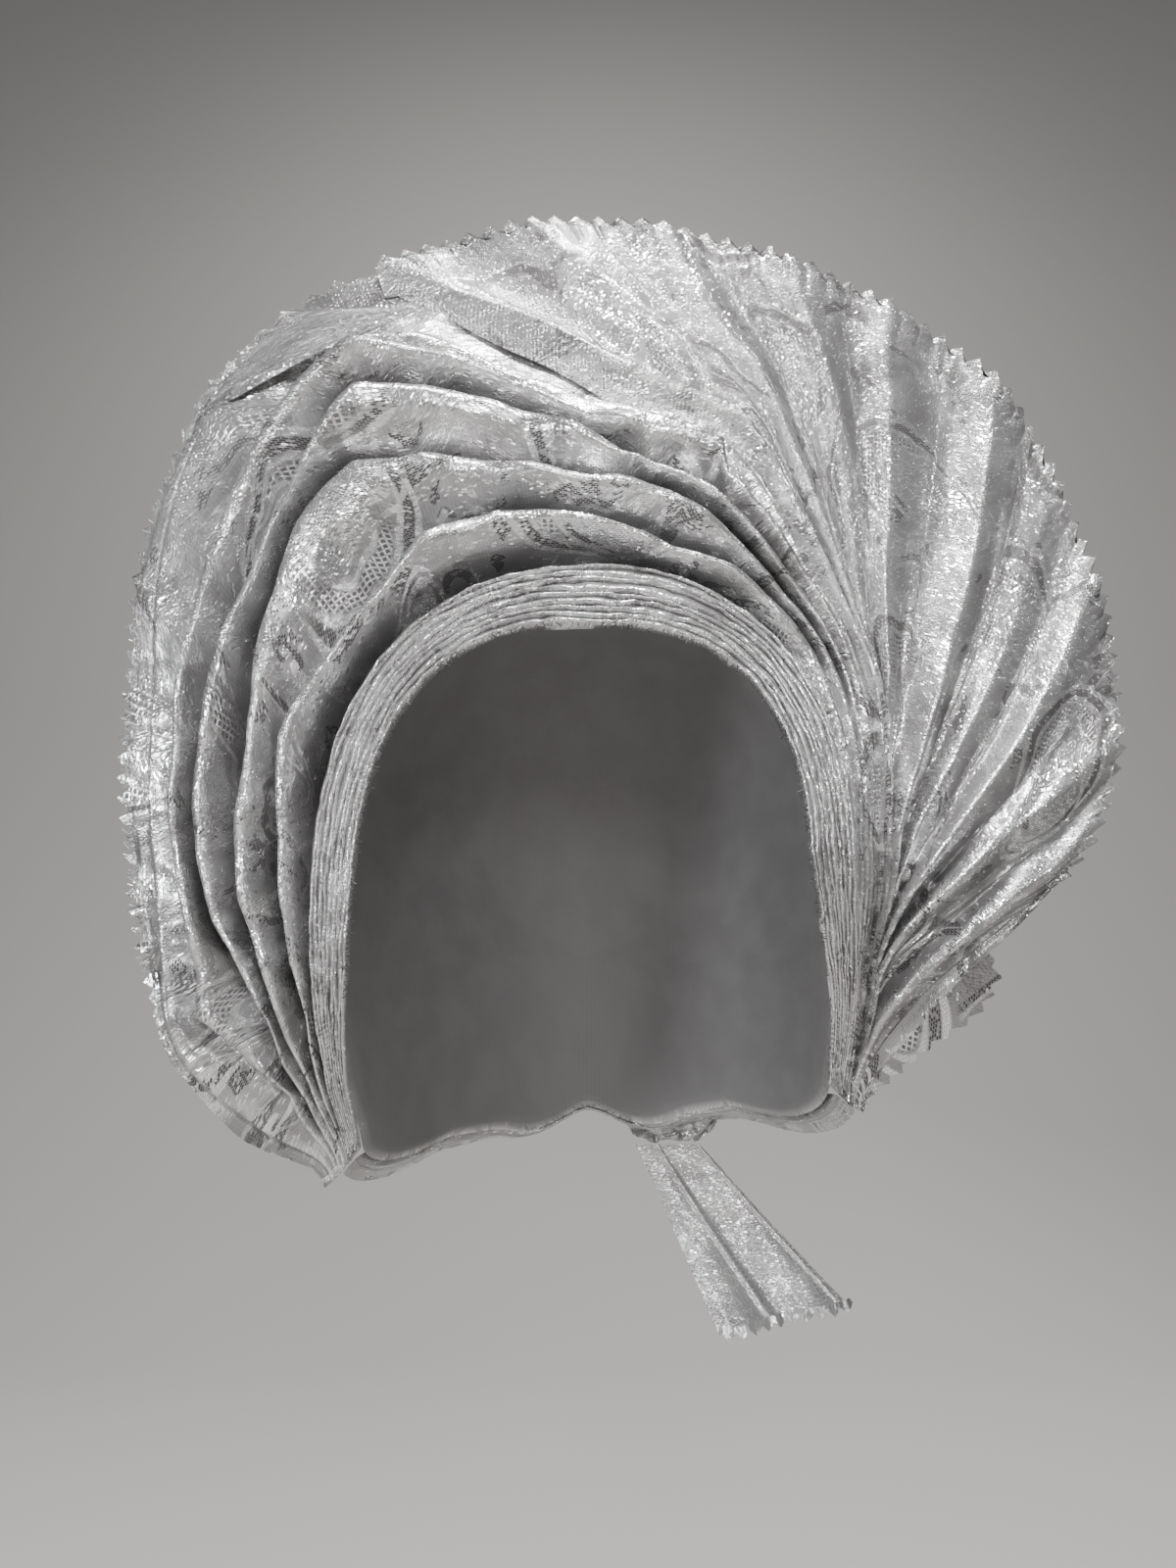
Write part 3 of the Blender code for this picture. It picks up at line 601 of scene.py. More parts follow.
def swirl_cloth(material):
    """The folds that circle the face, and the pinked hem behind them, as one cloth."""
    per_tooth = 4
    fine, coarse = 0.5565, 0.90
    free_columns = 52 * per_tooth
    last_free = LAST_ANGLE - free_columns * fine
    rest = np.arange(last_free - coarse, FIRST_ANGLE, -coarse)
    angle = np.concatenate([LAST_ANGLE - fine * np.arange(free_columns + 1), rest, [FIRST_ANGLE]])
    crests, full, relief = fold_curves(angle)
    start = HALO_SETBACK * station("setback", angle) * 0.85 - 0.4 * BAND_THICKNESS
    foot = np.minimum(crests[-1][0] + 0.06 * full, 0.985 * full)

    def ramp(reach):
        return start * np.maximum(0.0, 1 - reach / foot)

    nodes, steps, painted_glint = [together(0.0003, ramp(0.0) - 0.06 * relief)], [2], [0.0]
    before = 0.0 * angle
    for number, (reach, lift) in enumerate(crests):
        # behind the last crest the cloth drops into a pocket, then a long face rises to this one
        gap = reach - before
        lap = number == len(FOLDS) - 1
        crest = ramp(reach) + lift
        deep = np.minimum(0.62 * relief, 0.9 * gap) * (0.2 if lap else 0.95)
        deep = deep * (1 + 0.3 * kinked_noise(angle / 12.0, number + 120.0))
        low = ramp(before + 0.15 * gap) - deep
        bend = 0.10 * kinked_noise(angle / 8.0, number + 80.0)
        edge = np.minimum(0.0026, 0.14 * gap) * (0.6 if lap else 1.0)
        for share, rise in ((0.13, 0.0), (0.22, 0.18), (0.44, 0.60 + bend), (0.70, 0.93 + 0.4 * bend)):
            nodes.append(together(before + share * gap, low + rise * (crest - low)))
        for back, fall in ((1.4, 0.0), (0.4, 0.10), (0.0, 0.9)):
            nodes.append(together(reach - back * edge, crest - fall * edge))
        nodes.append(together(reach + 0.02 * gap, crest - 0.45 * (lift + deep)))
        steps += [3, 4, 4, 3, 1, 1, 2, 3]
        # painted highlight: the mark is high over each fold's crest
        painted_glint += [0.0, 0.0, 0.05, 0.6, 0.8, 0.6, 0.3, 0.0]
        before = reach
    edge = np.minimum(crisp_curve(FAN_EDGE, 1, angle, 0.4) * full + 0.008, full)
    edge = np.maximum(edge, foot + 0.002)
    for part, count in ((0.0, 4), (0.35, 4), (0.8, 4), (1.0, 1)):
        nodes.append(together(foot + part * (edge - foot) - (0.0002 if part == 1.0 else 0), 0.0))
        steps.append(count)
        painted_glint.append(0.0)
    profile = spline_rows(np.array(nodes), steps)
    painted_glint = spline_rows(np.array(painted_glint), steps, 0.0)[:, None]
    # painted highlight over the lower-left panels, from 180 to 210 degrees
    painted_glint = np.maximum(painted_glint, np.interp(angle, (180, 189, 203, 210), (0.0, 0.5, 0.5, 0.0)))
    reach, lift = profile[..., 0], profile[..., 1]
    rows = len(reach)
    row = np.arange(rows)[:, None]
    cloth_u = np.radians(angle) * 0.115
    run = lengths(halo(angle, reach, lift), 0)
    give = station("relief", angle) * np.minimum(1, row / 12.0) * grown(row, rows, rows - 16, 0.45)
    crumple = 0.0026 + 0.0022 * grown(angle, 180, 190)
    lift = lift + crumple * give * crinkle(cloth_u / 0.034 + run / 0.07, run / 0.045, 3.0)
    lift = lift + 0.0008 * give * crinkle(cloth_u / 0.013 - run / 0.03, run / 0.020, 8.0)
    # the hem ripples, and is pinked where the fan doesn't cover it
    hem, free = grown(row, rows - 12, rows - 1), grown(angle, 109, 111)
    lift = lift + 0.0024 * hem * free * kinked_noise(angle / 6.6, 31.0) * grown(angle, 204, 184)
    pink = teeth(len(angle), per_tooth) * TOOTH_DEPTH * free * grown(angle, 196, 184, 0.12)
    pink_hem(reach, pink)
    points = halo(angle, reach, lift)
    thin = grown(row, rows - 13, rows - 6) * free * grown(angle, 118, 128)
    piece = grid_mesh("swirl_cloth", points, together(cloth_u, lengths(points, 0)), {"sheer": thin, "painted_glint": painted_glint})
    give_wall(piece, CLOTH, -1.0)
    return join_frame(piece, material, "swirl_folds")


def hem_corner(material):
    """The hem's corner, turned back over the folds: a flat triangle from the pinked hem to its tip."""
    per_tooth = 6
    count = 5 * per_tooth + 1
    hem_angle = np.linspace(127.5, 115.5, count)
    full = HALO_REACH * station("reach", hem_angle)
    t = np.linspace(0, 1, 30)[:, None]
    hem = halo(hem_angle, full + teeth(count, per_tooth) * TOOTH_DEPTH, 0.0012)
    notch = halo(hem_angle, full - NOTCH_ROW, 0.0013)
    tip = halo(105.4, 0.745 * HALO_REACH * station("reach", 105.4), 0.0195)
    bow = halo(hem_angle, full, 0.0022) - halo(hem_angle, full, 0.0)
    edge = np.linspace(-1, 1, count)
    rise = np.sin(math.pi * t) * (0.8 + 0.9 * (1 - edge ** 2) + 0.5 * kinked_noise(edge * 2 + 2 * t, 5.0))
    t = t[..., None]
    points = np.concatenate([hem[None], notch * (1 - t) + tip * t + bow * rise[..., None]])
    uv = together(lengths(points, 1) + 0.012, lengths(points, 0) + 0.020)
    # painted highlight over the whole corner, through its point mark
    piece = grid_mesh("hem_corner", points, uv, {"painted_glint": 0.55})
    give_wall(piece, CLOTH, 0.0)
    return join_frame(piece, material)


def fan_cloth(material):
    """The fan of pleats, spread from the ear to its pinked hem."""
    per_tooth = 6
    count = 58 * per_tooth + 1
    hem_angle = np.linspace(PLEATS[0, 0], PLEATS[-1, 0], count)
    place_in_order = np.interp(hem_angle, PLEATS[::-1, 0], np.arange(len(PLEATS))[::-1])
    bend = smooth_curve(PLEATS, 1, hem_angle)
    height = np.interp(hem_angle, PLEATS[::-1, 0], PLEATS[::-1, 2])
    t = np.linspace(0, 1, 116)[:, None] ** 0.9
    order = grown(hem_angle, PLEATS[0, 0], PLEATS[-1, 0])
    angle = FIRST_ANGLE + (hem_angle - FIRST_ANGLE) * t
    rise = np.where(bend > 0.02, t ** np.maximum(bend, 0.02), 1.0)
    rise = np.maximum(rise, order * (ROOT_SHARE + (1 - ROOT_SHARE) * rise))
    edge = crisp_curve(FAN_EDGE, 1, angle)
    share = edge + (1 - edge) * rise
    swell = np.minimum(1.0, t / 0.5) * (1 - 0.25 * t - 0.45 * t ** 3)
    cloth_u = np.radians(PLEATS[0, 0] - hem_angle) * 0.235
    cloth_v = t * 0.30 + 0 * cloth_u
    drift = place_in_order + 0.10 * kinked_noise(cloth_v / 0.05 + 3 * np.round(place_in_order), 2.0)
    off = np.abs(drift - np.round(drift)) * 2
    crest = 1 - off ** 1.15 * (1 - 0.25 * np.exp(-((off - 1) / 0.2) ** 2))
    lift = 0.0006 + FAN_RELIEF * height * swell * crest
    fine_share = np.minimum(1, t / 0.25) * np.clip(1.25 - t * 1.8, 0.0, 1) * grown(hem_angle, 24, 44, 0.12)
    part = place_in_order * 3.0 + 0.1 + 0.12 * kinked_noise(cloth_v / 0.04, 6.0)
    fine = 1 - 2 * np.abs(part - np.floor(part) - 0.5)
    lift = lift + 0.0030 * fine_share * np.abs(1 - fine) ** 1.4 * (0.6 + 0.4 * lattice(np.floor(part), 0, 8.0))
    full = HALO_REACH * station("reach", angle)
    lift = lift + 0.0030 * t * np.abs(crinkle(cloth_u / 0.085 + cloth_v / 0.16, cloth_v / 0.13, 5.0))
    lift = lift + 0.0005 * np.abs(crinkle(cloth_u / 0.016, cloth_v / 0.06, 15.0)) * np.clip((0.8 - t) * 3, 0.2, 1)
    reach = share * full
    pink_hem(reach, teeth(count, per_tooth) * TOOTH_DEPTH)
    # from the first pleat's crest the cloth slopes back down towards the outer fold
    room = reach[:, :1] - crisp_curve(OUTER_FOLD, 1, angle[:, :1], 0.45) * full[:, :1]
    slope = np.clip(0.62 * room, 0.001, 0.017) * grown(lift[:, :1], 0, 0.004, 0.05)
    back, high = np.array(((1.0, 0.0), (0.74, 0.10), (0.48, 0.34), (0.24, 0.68), (0.08, 0.93))).T
    more = len(back)
    reach = np.concatenate([reach[:, :1] - back * slope, reach], axis=1)
    lift = np.concatenate([0.0006 + (lift[:, :1] - 0.0006) * high, lift], axis=1)
    points = halo(np.concatenate([angle[:, :1]] * more + [angle], axis=1), reach, lift)
    number = np.concatenate([[0] * more, np.round(place_in_order)]).astype(int)
    crests = np.array([more + np.argmin(np.abs(place_in_order - k)) for k in range(len(PLEATS))])
    run = lengths(points, 1)
    uv = together(run - run[:, crests[number]] + 0.041 * number, lengths(points, 0))
    # painted highlight along the pleats' crests and the slope behind the first crest
    painted_glint = np.concatenate([crest[:, :1] * 0.5] * more + [0.6 * np.clip(crest, 0, 1) ** 5], axis=1)
    piece = grid_mesh("fan_cloth", points, uv, {"sheer": np.clip((t - 0.9) * 8, 0, 0.5), "painted_glint": painted_glint})
    give_wall(piece, CLOTH, 1.0)
    return join_frame(piece, material, "side_fan")


def brow_pleats(material):
    """The stack of narrow pleats round the face, each lapping the next one out, a little uneven."""
    angle = np.linspace(LAST_ANGLE, FIRST_ANGLE, 361)
    (r0, y0), (r1, y1) = band_inner(angle), band_outer(angle)
    length = np.hypot(r1 - r0, y1 - y0)
    front_r, front_y = (y1 - y0) / length, -(r1 - r0) / length
    stay = np.minimum(1.0, (angle - FIRST_ANGLE) / 20) * np.minimum(1.0, (LAST_ANGLE - angle) / 20)
    edges = [0 * angle]
    for k in range(1, BAND_PLEATS):
        wander = 0.36 * soft_noise(angle / 11.0, 0.0, 3.0 * k) + 0.14 * soft_noise(angle / 3.7, 0.0, 5.0 * k)
        edges.append((k + wander * stay) / BAND_PLEATS)
    edges.append(0 * angle + 1.0)
    step = np.minimum(BAND_PLEAT_STEP * 1.45, 0.55 * length / BAND_PLEATS)
    rows = []
    for k in range(BAND_PLEATS):
        open_gap = 0.5 + 0.5 * soft_noise(angle / 6.0, 0.0, 60.0 + k)
        for t, rise in PLEAT_SHAPE:
            share = edges[k] + (edges[k + 1] - edges[k]) * t
            proud = step * (rise if rise > 0 else rise * (0.5 + open_gap))
            proud = proud + 0.00035 * soft_noise(angle / 2.2, k, 71.0) * stay * (rise > 0)
            rows.append(place(angle, r0 + (r1 - r0) * share + front_r * proud,
                              y0 + (y1 - y0) * share + front_y * proud))
    back = y0 + BAND_THICKNESS
    rows.append(place(angle, r1, y1 + BAND_THICKNESS))
    rows.append(place(angle, head_radius(angle, back) + 0.0004, back))
    points = capped(np.array(rows))
    uv = together(lengths(points, 1).mean(0), lengths(points, 0))
    # painted highlight on the raised edge rows of each pleat
    pleat, step_in_pleat = np.divmod(np.arange(len(points))[:, None], len(PLEAT_SHAPE))
    on_edge = (step_in_pleat >= 1) & (step_in_pleat <= 3) & (pleat < BAND_PLEATS)
    return finish_piece(grid_mesh("brow_pleats", points, uv, {"painted_glint": 0.5 * on_edge}, closed_rows=True), material,
                        "brow_band")


def capped(points):
    """The same closed sections with a last one at each end drawn to its middle."""
    first = np.repeat(points[:, :1].mean(0, keepdims=True), len(points), axis=0)
    last = np.repeat(points[:, -1:].mean(0, keepdims=True), len(points), axis=0)
    return np.concatenate([first, points, last], axis=1)


def join_frame(piece, material, stands_for=None):
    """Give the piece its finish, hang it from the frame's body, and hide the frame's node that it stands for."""
    if material:
        piece.data.materials.append(material)
    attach(piece, "root")
    if stands_for:
        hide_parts(stands_for)
    return piece


def finish_piece(piece, material, stands_for, merge=0.00001):
    """Merge the piece's seams and poles, then give it its finish and its place in the frame."""
    mesh = bmesh.new()
    mesh.from_mesh(piece.data)
    bmesh.ops.remove_doubles(mesh, verts=mesh.verts, dist=merge)
    mesh.to_mesh(piece.data)
    mesh.free()
    shade(piece, 75)
    return join_frame(piece, material, stands_for)


def crown_edge(angle):
    """The crown's front edge, as the angle from the back of the head towards the face."""
    sides, others = STATIONS[STATIONS[:, 0] >= 195], STATIONS[STATIONS[:, 0] <= 15]
    places = np.concatenate([sides[:, 0], NAPE[:, 0], others[:, 0] + 360])
    openings = np.concatenate([sides[:, 1], NAPE[:, 1], others[:, 1]])
    turned = (angle - FIRST_ANGLE) % 360 + FIRST_ANGLE
    low = smooth_curve(together(places, openings), 1, turned)
    opening = np.where(turned > LAST_ANGLE, low, station("opening", np.minimum(turned, LAST_ANGLE)))
    return np.arccos(-opening) - (BAND_THICKNESS + CROWN_TUCK) / HEAD_HALF_LENGTH


def on_head(angle, turn, offset):
    """A point on the head form, offset outwards; turn is the angle from the back of the head."""
    y = (HEAD_HALF_LENGTH + offset) * np.cos(turn)
    return place(angle, head_radius(angle, y, offset), y)


def spaced_angles(first, last, count):
    """Angles an even length apart along the crown's edge."""
    angles = np.linspace(first, last, 8 * count + 1)
    edge = on_head(angles, crown_edge(angles), 0.0)
    run = np.concatenate([[0], np.cumsum(np.linalg.norm(np.diff(edge, axis=0), axis=-1))])
    return np.interp(np.linspace(0, run[-1], count + 1), run, angles)


def shingles(x):
    """Laps of cloth, one a unit: each edge stands proud and slopes down to the next."""
    part = x - np.floor(x)
    return np.where(part < 0.12, part / 0.12, (1 - part) / 0.88)


def crown_cover(material):
    """The cloth wound over the top and back of the head, its laps crossing behind."""
    angle = spaced_angles(FIRST_ANGLE, FIRST_ANGLE + 360, 240)[:-1]
    share = np.linspace(0.004, 1.0, 84)[:, None]
    turn = crown_edge(angle) * share
    bare = on_head(angle, turn, 0.0)
    x, z = bare[..., 0], bare[..., 2] + HEAD_VAULT
    drift = 0.010 * soft_noise(x / 0.05, z / 0.05, 2.0) + 0.004 * soft_noise(x / 0.018, z / 0.018, 4.0)
    left = shingles((z * 0.80 - x * 0.62 + drift) / 0.017)
    right = shingles((z * 0.80 + x * 0.62 + drift) / 0.019)
    seam = x + 0.012 * np.sin(z / 0.03)
    over = grown(seam, 0, 0.004)
    laps = left * over + right * (1 - over) + 0.55 * np.exp(-((seam + 0.002) / 0.004) ** 2)
    fade = grown(share, 1, 0.90)
    creases = 0.5 + 0.5 * crinkle(x / 0.03, z / 0.03, 7.0)
    outer = on_head(angle, turn, 0.0017 + (0.0036 * laps + 0.0012 * creases) * fade)
    points = np.concatenate([bare[::4], outer[::-1]], axis=0)
    turns = np.concatenate([turn[::4], turn[::-1]], axis=0) * HEAD_HALF_LENGTH
    uv = together(turns * np.cos(np.radians(angle)), turns * np.sin(np.radians(angle)))
    points[0], points[-1] = on_head(0.0, 0.0001, 0.0), on_head(0.0, 0.0001, 0.0022)
    # the inner rows carry a mark: the cloth's reverse, also painted in shade
    marks = {"reverse_and_shade": (np.arange(len(points)) >= len(outer))[:, None]}
    piece = grid_mesh("crown_cover", points[::-1], uv[::-1], marks, closed_columns=True)
    return finish_piece(piece, material, "crown_wrap")


def nape_bundle(material):
    """The twisted ends of the cloth, from ear to ear across the nape."""
    spare = math.degrees(0.0004 / HEAD_HALF_WIDTH)
    angle = spaced_angles(LAST_ANGLE + spare, FIRST_ANGLE + 360 - spare, 260)
    edge = crown_edge(angle)
    seat = CROWN_WALL + NAPE_SEAT
    along = np.linspace(0, 1, len(angle))
    rows = []
    for t in np.linspace(0, 1, 73):
        swell = math.sqrt(max(0.0, 1 - (2 * t - 1) ** 2))
        twist = t * 6.5 + 2.2 * along + 0.25 * soft_noise(along * 9, 0.0, 4.0)
        lap = 0.0030 * shingles(twist) * min(1.0, 12 * t, 12 * (1 - t))
        fine = 0.0004 * crinkle(along * 30, 3 * t, 6.0) * swell
        plump = 0.4 * NAPE_THICKNESS * (1 + 1.35 * swell)
        rows.append(on_head(angle, edge - NAPE_TURN * t, seat + plump + lap + fine))
    for t in (1.0, 0.75, 0.5, 0.25, 0.0):
        rows.append(on_head(angle, edge - NAPE_TURN * t, seat))
    points = capped(np.array(rows))
    uv = together(lengths(points, 1).mean(0), lengths(points, 0))
    return finish_piece(grid_mesh("nape_bundle", points, uv, closed_rows=True), material,
                        "nape_wrap")


def knot_frame():
    """Where the knot sits on the nape: its middle, and unit vectors along, down and out."""
    turn = crown_edge(np.array([KNOT_ANGLE]))[0] - 0.5 * NAPE_TURN
    seat = CROWN_WALL + NAPE_SEAT + NAPE_THICKNESS + NAPE_FOLD_STEP + KNOT_SEAT
    here = on_head(KNOT_ANGLE, turn, seat)
    out_way = on_head(KNOT_ANGLE, turn, seat + 0.001) - here
    out_way /= np.linalg.norm(out_way)
    level = math.hypot(out_way[0], out_way[1])
    along = np.array((out_way[1] / level, -out_way[0] / level, 0.0))
    down = np.cross(along, out_way)
    down = -down if down[2] > 0 else down
    return here + out_way * KNOT_FLAT_SIDE * KNOT_HALF_DEPTH, along, down, out_way


def knot_loop(material):
    """The knot: two ends crossed and drawn tight, plump, with laps that run into its waist."""
    middle, along, down, out_way = knot_frame()
    a = np.linspace(0, TURN, 144, endpoint=False)
    t = np.sin(np.linspace(-0.4995, 0.4995, 75) * math.pi)[:, None]
    swell = np.sqrt(np.maximum(0, 1 - t * t)) ** 0.8
    waist = 1 - KNOT_WAIST * np.exp(-((t / 0.25) ** 2))
    laps = shingles(a / TURN * 9 + 1.8 * t * np.abs(t) + 0.3 * soft_noise(a * 2, 3 * t, 9.0))
    across = t - 0.35 * np.sin(a)
    groove = 0.0026 * (1 - laps) * (1 - 0.6 * np.exp(-(across / 0.20) ** 2))
    groove = groove + 0.0013 * np.exp(-((np.abs(across) - 0.24) / 0.05) ** 2)
    inside = grown(np.sin(a), -0.75, -0.45)
    size = swell * waist * (1 - groove * inside / 0.011)
    d = KNOT_HALF_WIDTH * np.cos(a) * size
    o = KNOT_HALF_DEPTH * np.maximum(np.sin(a), -KNOT_FLAT_SIDE) * size
    s = KNOT_HALF_LENGTH * 0.97 * t + 0 * a
    points = middle + s[..., None] * along + d[..., None] * down + o[..., None] * out_way
    points[0], points[-1] = points[0].mean(0), points[-1].mean(0)
    uv = together(s * 1.1, a * 0.012)
    return finish_piece(grid_mesh("knot_loop", points, uv, closed_columns=True), material,
                        "nape_knot")


def free_end(material):
    """The free end, folded in two, with its pinked edge: it hangs from the knot towards the fan's side."""
    middle, along, down, out_way = knot_frame()
    top = middle + down * (KNOT_FULLNESS * KNOT_HALF_WIDTH + 0.0006)
    side = np.linspace(1, -1, 121)
    t = np.linspace(0, 1, 61)[:, None]
    half = 0.5 * (TAIL_TOP_WIDTH + (TAIL_END_WIDTH - TAIL_TOP_WIDTH) * t)
    tooth = np.where(t > 0.999, TAIL_TOOTH * (1 - teeth(121, 12)), 0.0)
    tooth = tooth + np.where((t > 0.98) & (t < 0.99), TAIL_TOOTH + 0.0004, 0.0)
    x = top[0] + TAIL_SIDEWAYS * t + half * side
    z = top[2] - TAIL_LENGTH * t + tooth + TAIL_SLANT * half * side * t
    sag = 0.12 * half * np.cos(1.6 * math.pi * side) * t
    fold = 0.0014 * np.exp(-((side - 0.93) / 0.05) ** 2) + 0.0016 * np.exp(-((side + 0.35 - 0.2 * t) / 0.06) ** 2)
    soft = 0.0011 * crinkle(side * half / 0.02, t * 2.2, 12.0) * t ** 0.5
    y = top[1] - TAIL_FORWARD * t * t + sag - fold * t ** 0.4 - soft
    uv = together(half * side + 0.31, 0.17 + t * TAIL_LENGTH * 1.25)
    piece = grid_mesh("free_end", together(x, y, z), uv, {"sheer": 0.5})
    give_wall(piece, CLOTH, 0.0)
    return finish_piece(piece, material, "knot_tail", 0.0)


def under_flap(material):
    """The pinked flap of the fan's last fold, which shows below the fan's lower edge."""
    per_tooth = 6
    count = 12 * per_tooth + 1
    angle = np.linspace(FLAP[-1, 0], FLAP[0, 0], count)
    drop = UNDERLAP_DROP * smooth_curve(FLAP, 1, angle)
    full = HALO_REACH * station("reach", angle)
    start = (crisp_curve(FAN_EDGE, 1, angle, 0.5) + 1.4 * FAN_OVERLAP) * full
    t = np.linspace(0, 1, 26)[:, None]
    reach = start + (full + drop - start) * t
    pink_hem(reach, teeth(count, per_tooth) * np.minimum(0.0026, drop * 0.6), 0.0005)
    lift = -0.0004 - 0.0011 * (0.5 + 0.5 * crinkle(angle / 7, t * 2, 14.0)) * t
    points = halo(angle, reach, lift)
    uv = together(np.radians(angle) * 0.12, reach)
    piece = grid_mesh("under_flap", points, uv, {"sheer": 0.3 * t})
    give_wall(piece, CLOTH, -1.0)
    return finish_piece(piece, material, "fan_underlap", 0.0)


def thread_tree(material):
    """Geometry Nodes: short loose threads, one at each point of a raw edge, leaning along its 'way'."""
    tree = bpy.data.node_groups.new("loose_threads", "GeometryNodeTree")
    tree.interface.new_socket("Edge", in_out="INPUT", socket_type="NodeSocketGeometry")
    for label in ("Thread length", "Thread radius", "Spread", "Seed"):
        kind = "NodeSocketInt" if label == "Seed" else "NodeSocketFloat"
        tree.interface.new_socket(label, in_out="INPUT", socket_type=kind)
    tree.interface.new_socket("Threads", in_out="OUTPUT", socket_type="NodeSocketGeometry")
    start, end = node(tree, "NodeGroupInput"), node(tree, "NodeGroupOutput")
    radius, seed = out(start, "Thread radius"), out(start, "Seed")
    strand = node(tree, "GeometryNodeMeshCone", {}, {
        "Vertices": 4, "Radius Top": radius, "Radius Bottom": radius, "Depth": out(start, "Thread length")})
    way = node(tree, "GeometryNodeInputNamedAttribute", {"data_type": "FLOAT_VECTOR"}, {"Name": "way"})
    stray = node(tree, "FunctionNodeRandomValue", {"data_type": "FLOAT_VECTOR"},
                 {"Seed": seed, 0: (-1.0, -1.0, -1.0), 1: (1.0, 1.0, 1.0)})
    spread = node(tree, "ShaderNodeVectorMath", {"operation": "SCALE"},
                  {0: out(stray), "Scale": out(start, "Spread")})
    lean = node(tree, "ShaderNodeVectorMath", {"operation": "ADD"}, {0: out(way), 1: out(spread)})
    turn = node(tree, "FunctionNodeAlignRotationToVector", {"axis": "Z"}, {"Vector": out(lean)})
    size = node(tree, "FunctionNodeRandomValue", {"data_type": "FLOAT"},
                {"Seed": seed + 7.0, 2: 0.35, 3: 1.5})
    size_out = [o for o in size.outputs if o.enabled][0]
    placed = node(tree, "GeometryNodeInstanceOnPoints", {}, {
        "Points": out(start, "Edge"), "Instance": out(strand), "Rotation": out(turn),
        "Scale": Value(tree, size_out)})
    real = node(tree, "GeometryNodeRealizeInstances", {}, {0: out(placed)})
    dressed = node(tree, "GeometryNodeSetMaterial", {}, {"Geometry": out(real), "Material": material})
    tree.links.new(dressed.outputs[0], end.inputs[0])
    return tree


def loose_threads(name, edge, way, material, length, seed):
    """Loose threads along a raw edge: a row of places, and the way that each thread points."""
    mesh = bpy.data.meshes.new(name)
    mesh.from_pydata([tuple(p) for p in edge], [], [])
    held = mesh.attributes.new("way", "FLOAT_VECTOR", "POINT")
    held.data.foreach_set("vector", way.reshape(-1).astype(np.float32))
    piece = new_object(name, mesh)
    grow = piece.modifiers.new("threads", "NODES")
    grow.node_group = tree = thread_tree(material)
    sizes = {"Thread length": length, "Thread radius": 0.00011, "Spread": 0.55, "Seed": seed}
    for item in tree.interface.items_tree:
        if item.item_type == "SOCKET" and item.in_out == "INPUT" and item.name in sizes:
            grow[item.identifier] = sizes[item.name]
    convert(piece)
    join_frame(piece, None)


def thread_finish(name, level, metallic):
    """Loose thread: twisted, so its shine comes and goes along it."""
    material, tree, shader = new_material(name)
    at = out(node(tree, "ShaderNodeTexCoord"), 3)
    fleck = out(node(tree, "ShaderNodeTexNoise", {}, {"Vector": at, "Scale": 900.0, "Detail": 1.0}))
    colour = mixed(tree, fleck.step(0.4, 0.6), grey(level * 0.7), grey(min(1.0, level * 1.2)))
    feed(shader, {"Base Color": colour, "Roughness": (0.5 - fleck * 0.3).held(), "Metallic": metallic})
    return material


def raw_edges():
    """The loose threads at the brow's raw inner edge and along the pinked hem."""
    angle = np.arange(-10.0, 200.0, 0.62)
    r, y = band_inner(angle)
    edge = place(angle, r + 0.0006, y - 0.0004)
    inward = place(angle, -1.0, -0.5) + np.array((0, 0, HEAD_VAULT))
    loose_threads("brow_edge_threads", edge, inward, thread_finish("dark_thread", 0.07, 0.3),
                  0.0018, 11)
    angle = np.arange(5.0, 186.0, 0.9)
    full = HALO_REACH * station("reach", angle)
    edge = halo(angle, full + 0.0012, -0.0002)
    outward = place(angle, 1.0, 0.0) + np.array((0, 0, HEAD_VAULT))
    loose_threads("hem_threads", edge, outward, thread_finish("silver_thread", 0.8, 0.7),
                  0.0017, 23)


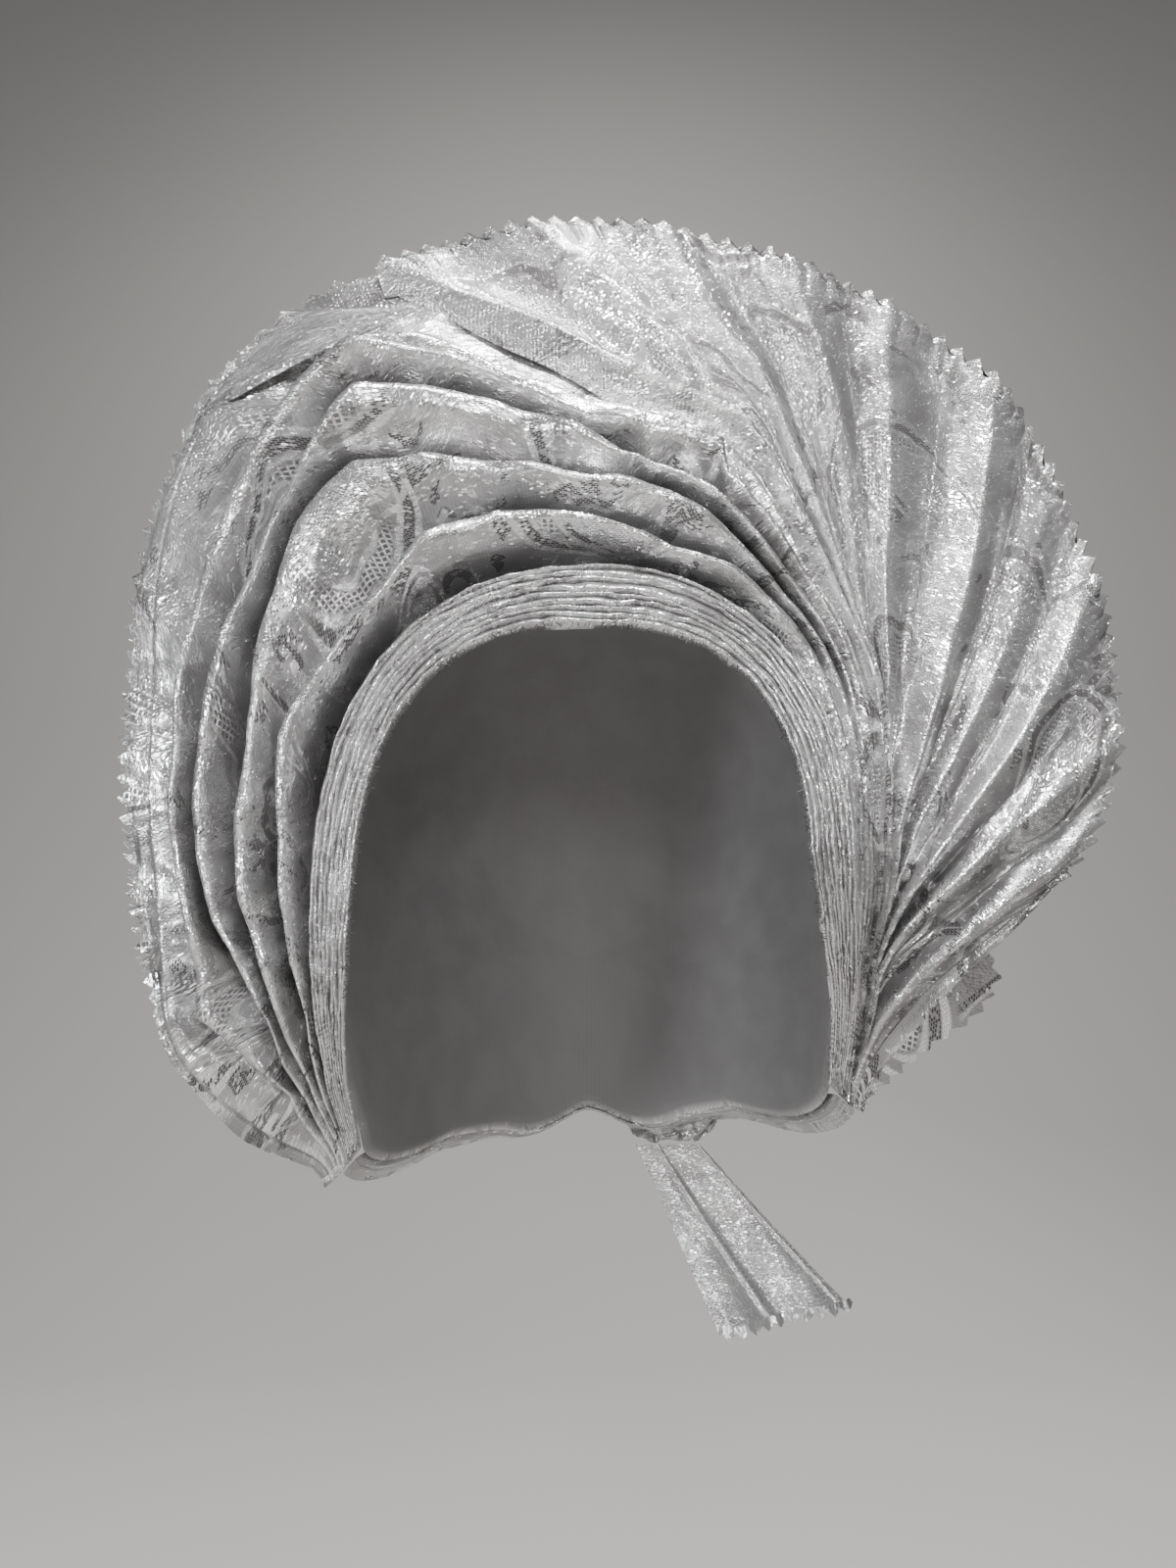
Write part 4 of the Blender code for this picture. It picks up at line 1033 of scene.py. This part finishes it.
def camera_and_light():
    camera_data = bpy.data.cameras.new("camera")
    camera_data.lens, camera_data.sensor_width = LENS
    camera_data.clip_start = 0.01
    camera = new_object("camera", camera_data)
    camera.location = CAMERA_PLACE
    camera.rotation_euler = (math.radians(90.0 + CAMERA_PITCH), 0.0, 0.0)
    bpy.context.scene.camera = camera
    world = bpy.data.worlds.new("room")
    world.use_nodes = True
    feed(world.node_tree.nodes["Background"], {0: (0.90, 0.91, 0.92, 1.0), 1: 0.29})
    bpy.context.scene.world = world
    for name, power, size, at, towards, colour in (
        ("ceiling_light", 18.0, 0.20, (0.02, -0.46, 0.92), (0.0, 0.0, -0.02), (1.0, 0.98, 0.97)),
        ("front_light", 4.0, 0.20, (0.06, -1.05, 0.22), (0.0, 0.0, -0.05), (1.0, 0.985, 0.97)),
        ("left_light", 5.0, 0.20, (-0.74, -0.72, 0.04), (0.0, 0.0, -0.05), (0.96, 0.98, 1.0)),
        ("back_light", 5.0, 0.60, (0.5, 1.0, 0.7), (0.0, 0.0, -0.05), (1.0, 0.98, 0.96)),
        ("wall_light", 16.0, 1.2, (0.0, 0.6, 1.8), (0.0, 2.0, 0.2), (1.0, 0.98, 0.96)),
    ):
        light = bpy.data.lights.new(name, "AREA")
        light.energy = power
        light.size = size
        light.color = colour
        lamp = new_object(name, light)
        lamp.location = at
        way = [b - a for a, b in zip(at, towards)]
        flat = math.hypot(way[0], way[1])
        lamp.rotation_euler = (math.atan2(flat, -way[2]), 0.0, math.atan2(-way[0], way[1]))


def studio():
    """A pale floor that curves up into a pale backdrop."""
    a = np.radians(np.linspace(0, 90, 25))
    y = np.concatenate([[-ROOM_HALF_WIDTH], BEND_START + BEND_RADIUS * np.sin(a), [BEND_START + BEND_RADIUS]])
    z = np.concatenate([[FLOOR_HEIGHT], FLOOR_HEIGHT + BEND_RADIUS * (1 - np.cos(a)), [WALL_TOP]])
    points = together(np.array([ROOM_HALF_WIDTH, -ROOM_HALF_WIDTH]), y[:, None], z[:, None])
    floor = grid_mesh("floor", points, points[..., :2])
    paint, _, shader = new_material("pale_paint")
    feed(shader, {"Base Color": (0.52, 0.505, 0.49, 1.0), "Roughness": 0.9})
    floor.data.materials.append(paint)


camera_and_light()
studio()
silver = jacquard("silver_jacquard", sheer=True)
plain = jacquard("pleated_jacquard", ground=0.42, motifs=0.7, glitter=1.5, reverse_and_shade=True)
swirl = swirl_cloth(silver)
corner = hem_corner(silver)
fan = fan_cloth(silver)
band = brow_pleats(plain)
crown = crown_cover(plain)
nape = nape_bundle(plain)
knot = knot_loop(plain)
tail = free_end(jacquard("sheer_jacquard", ground=0.62, motifs=0.4, glitter=0.6, sheer=True))
flap = under_flap(silver)
raw_edges()
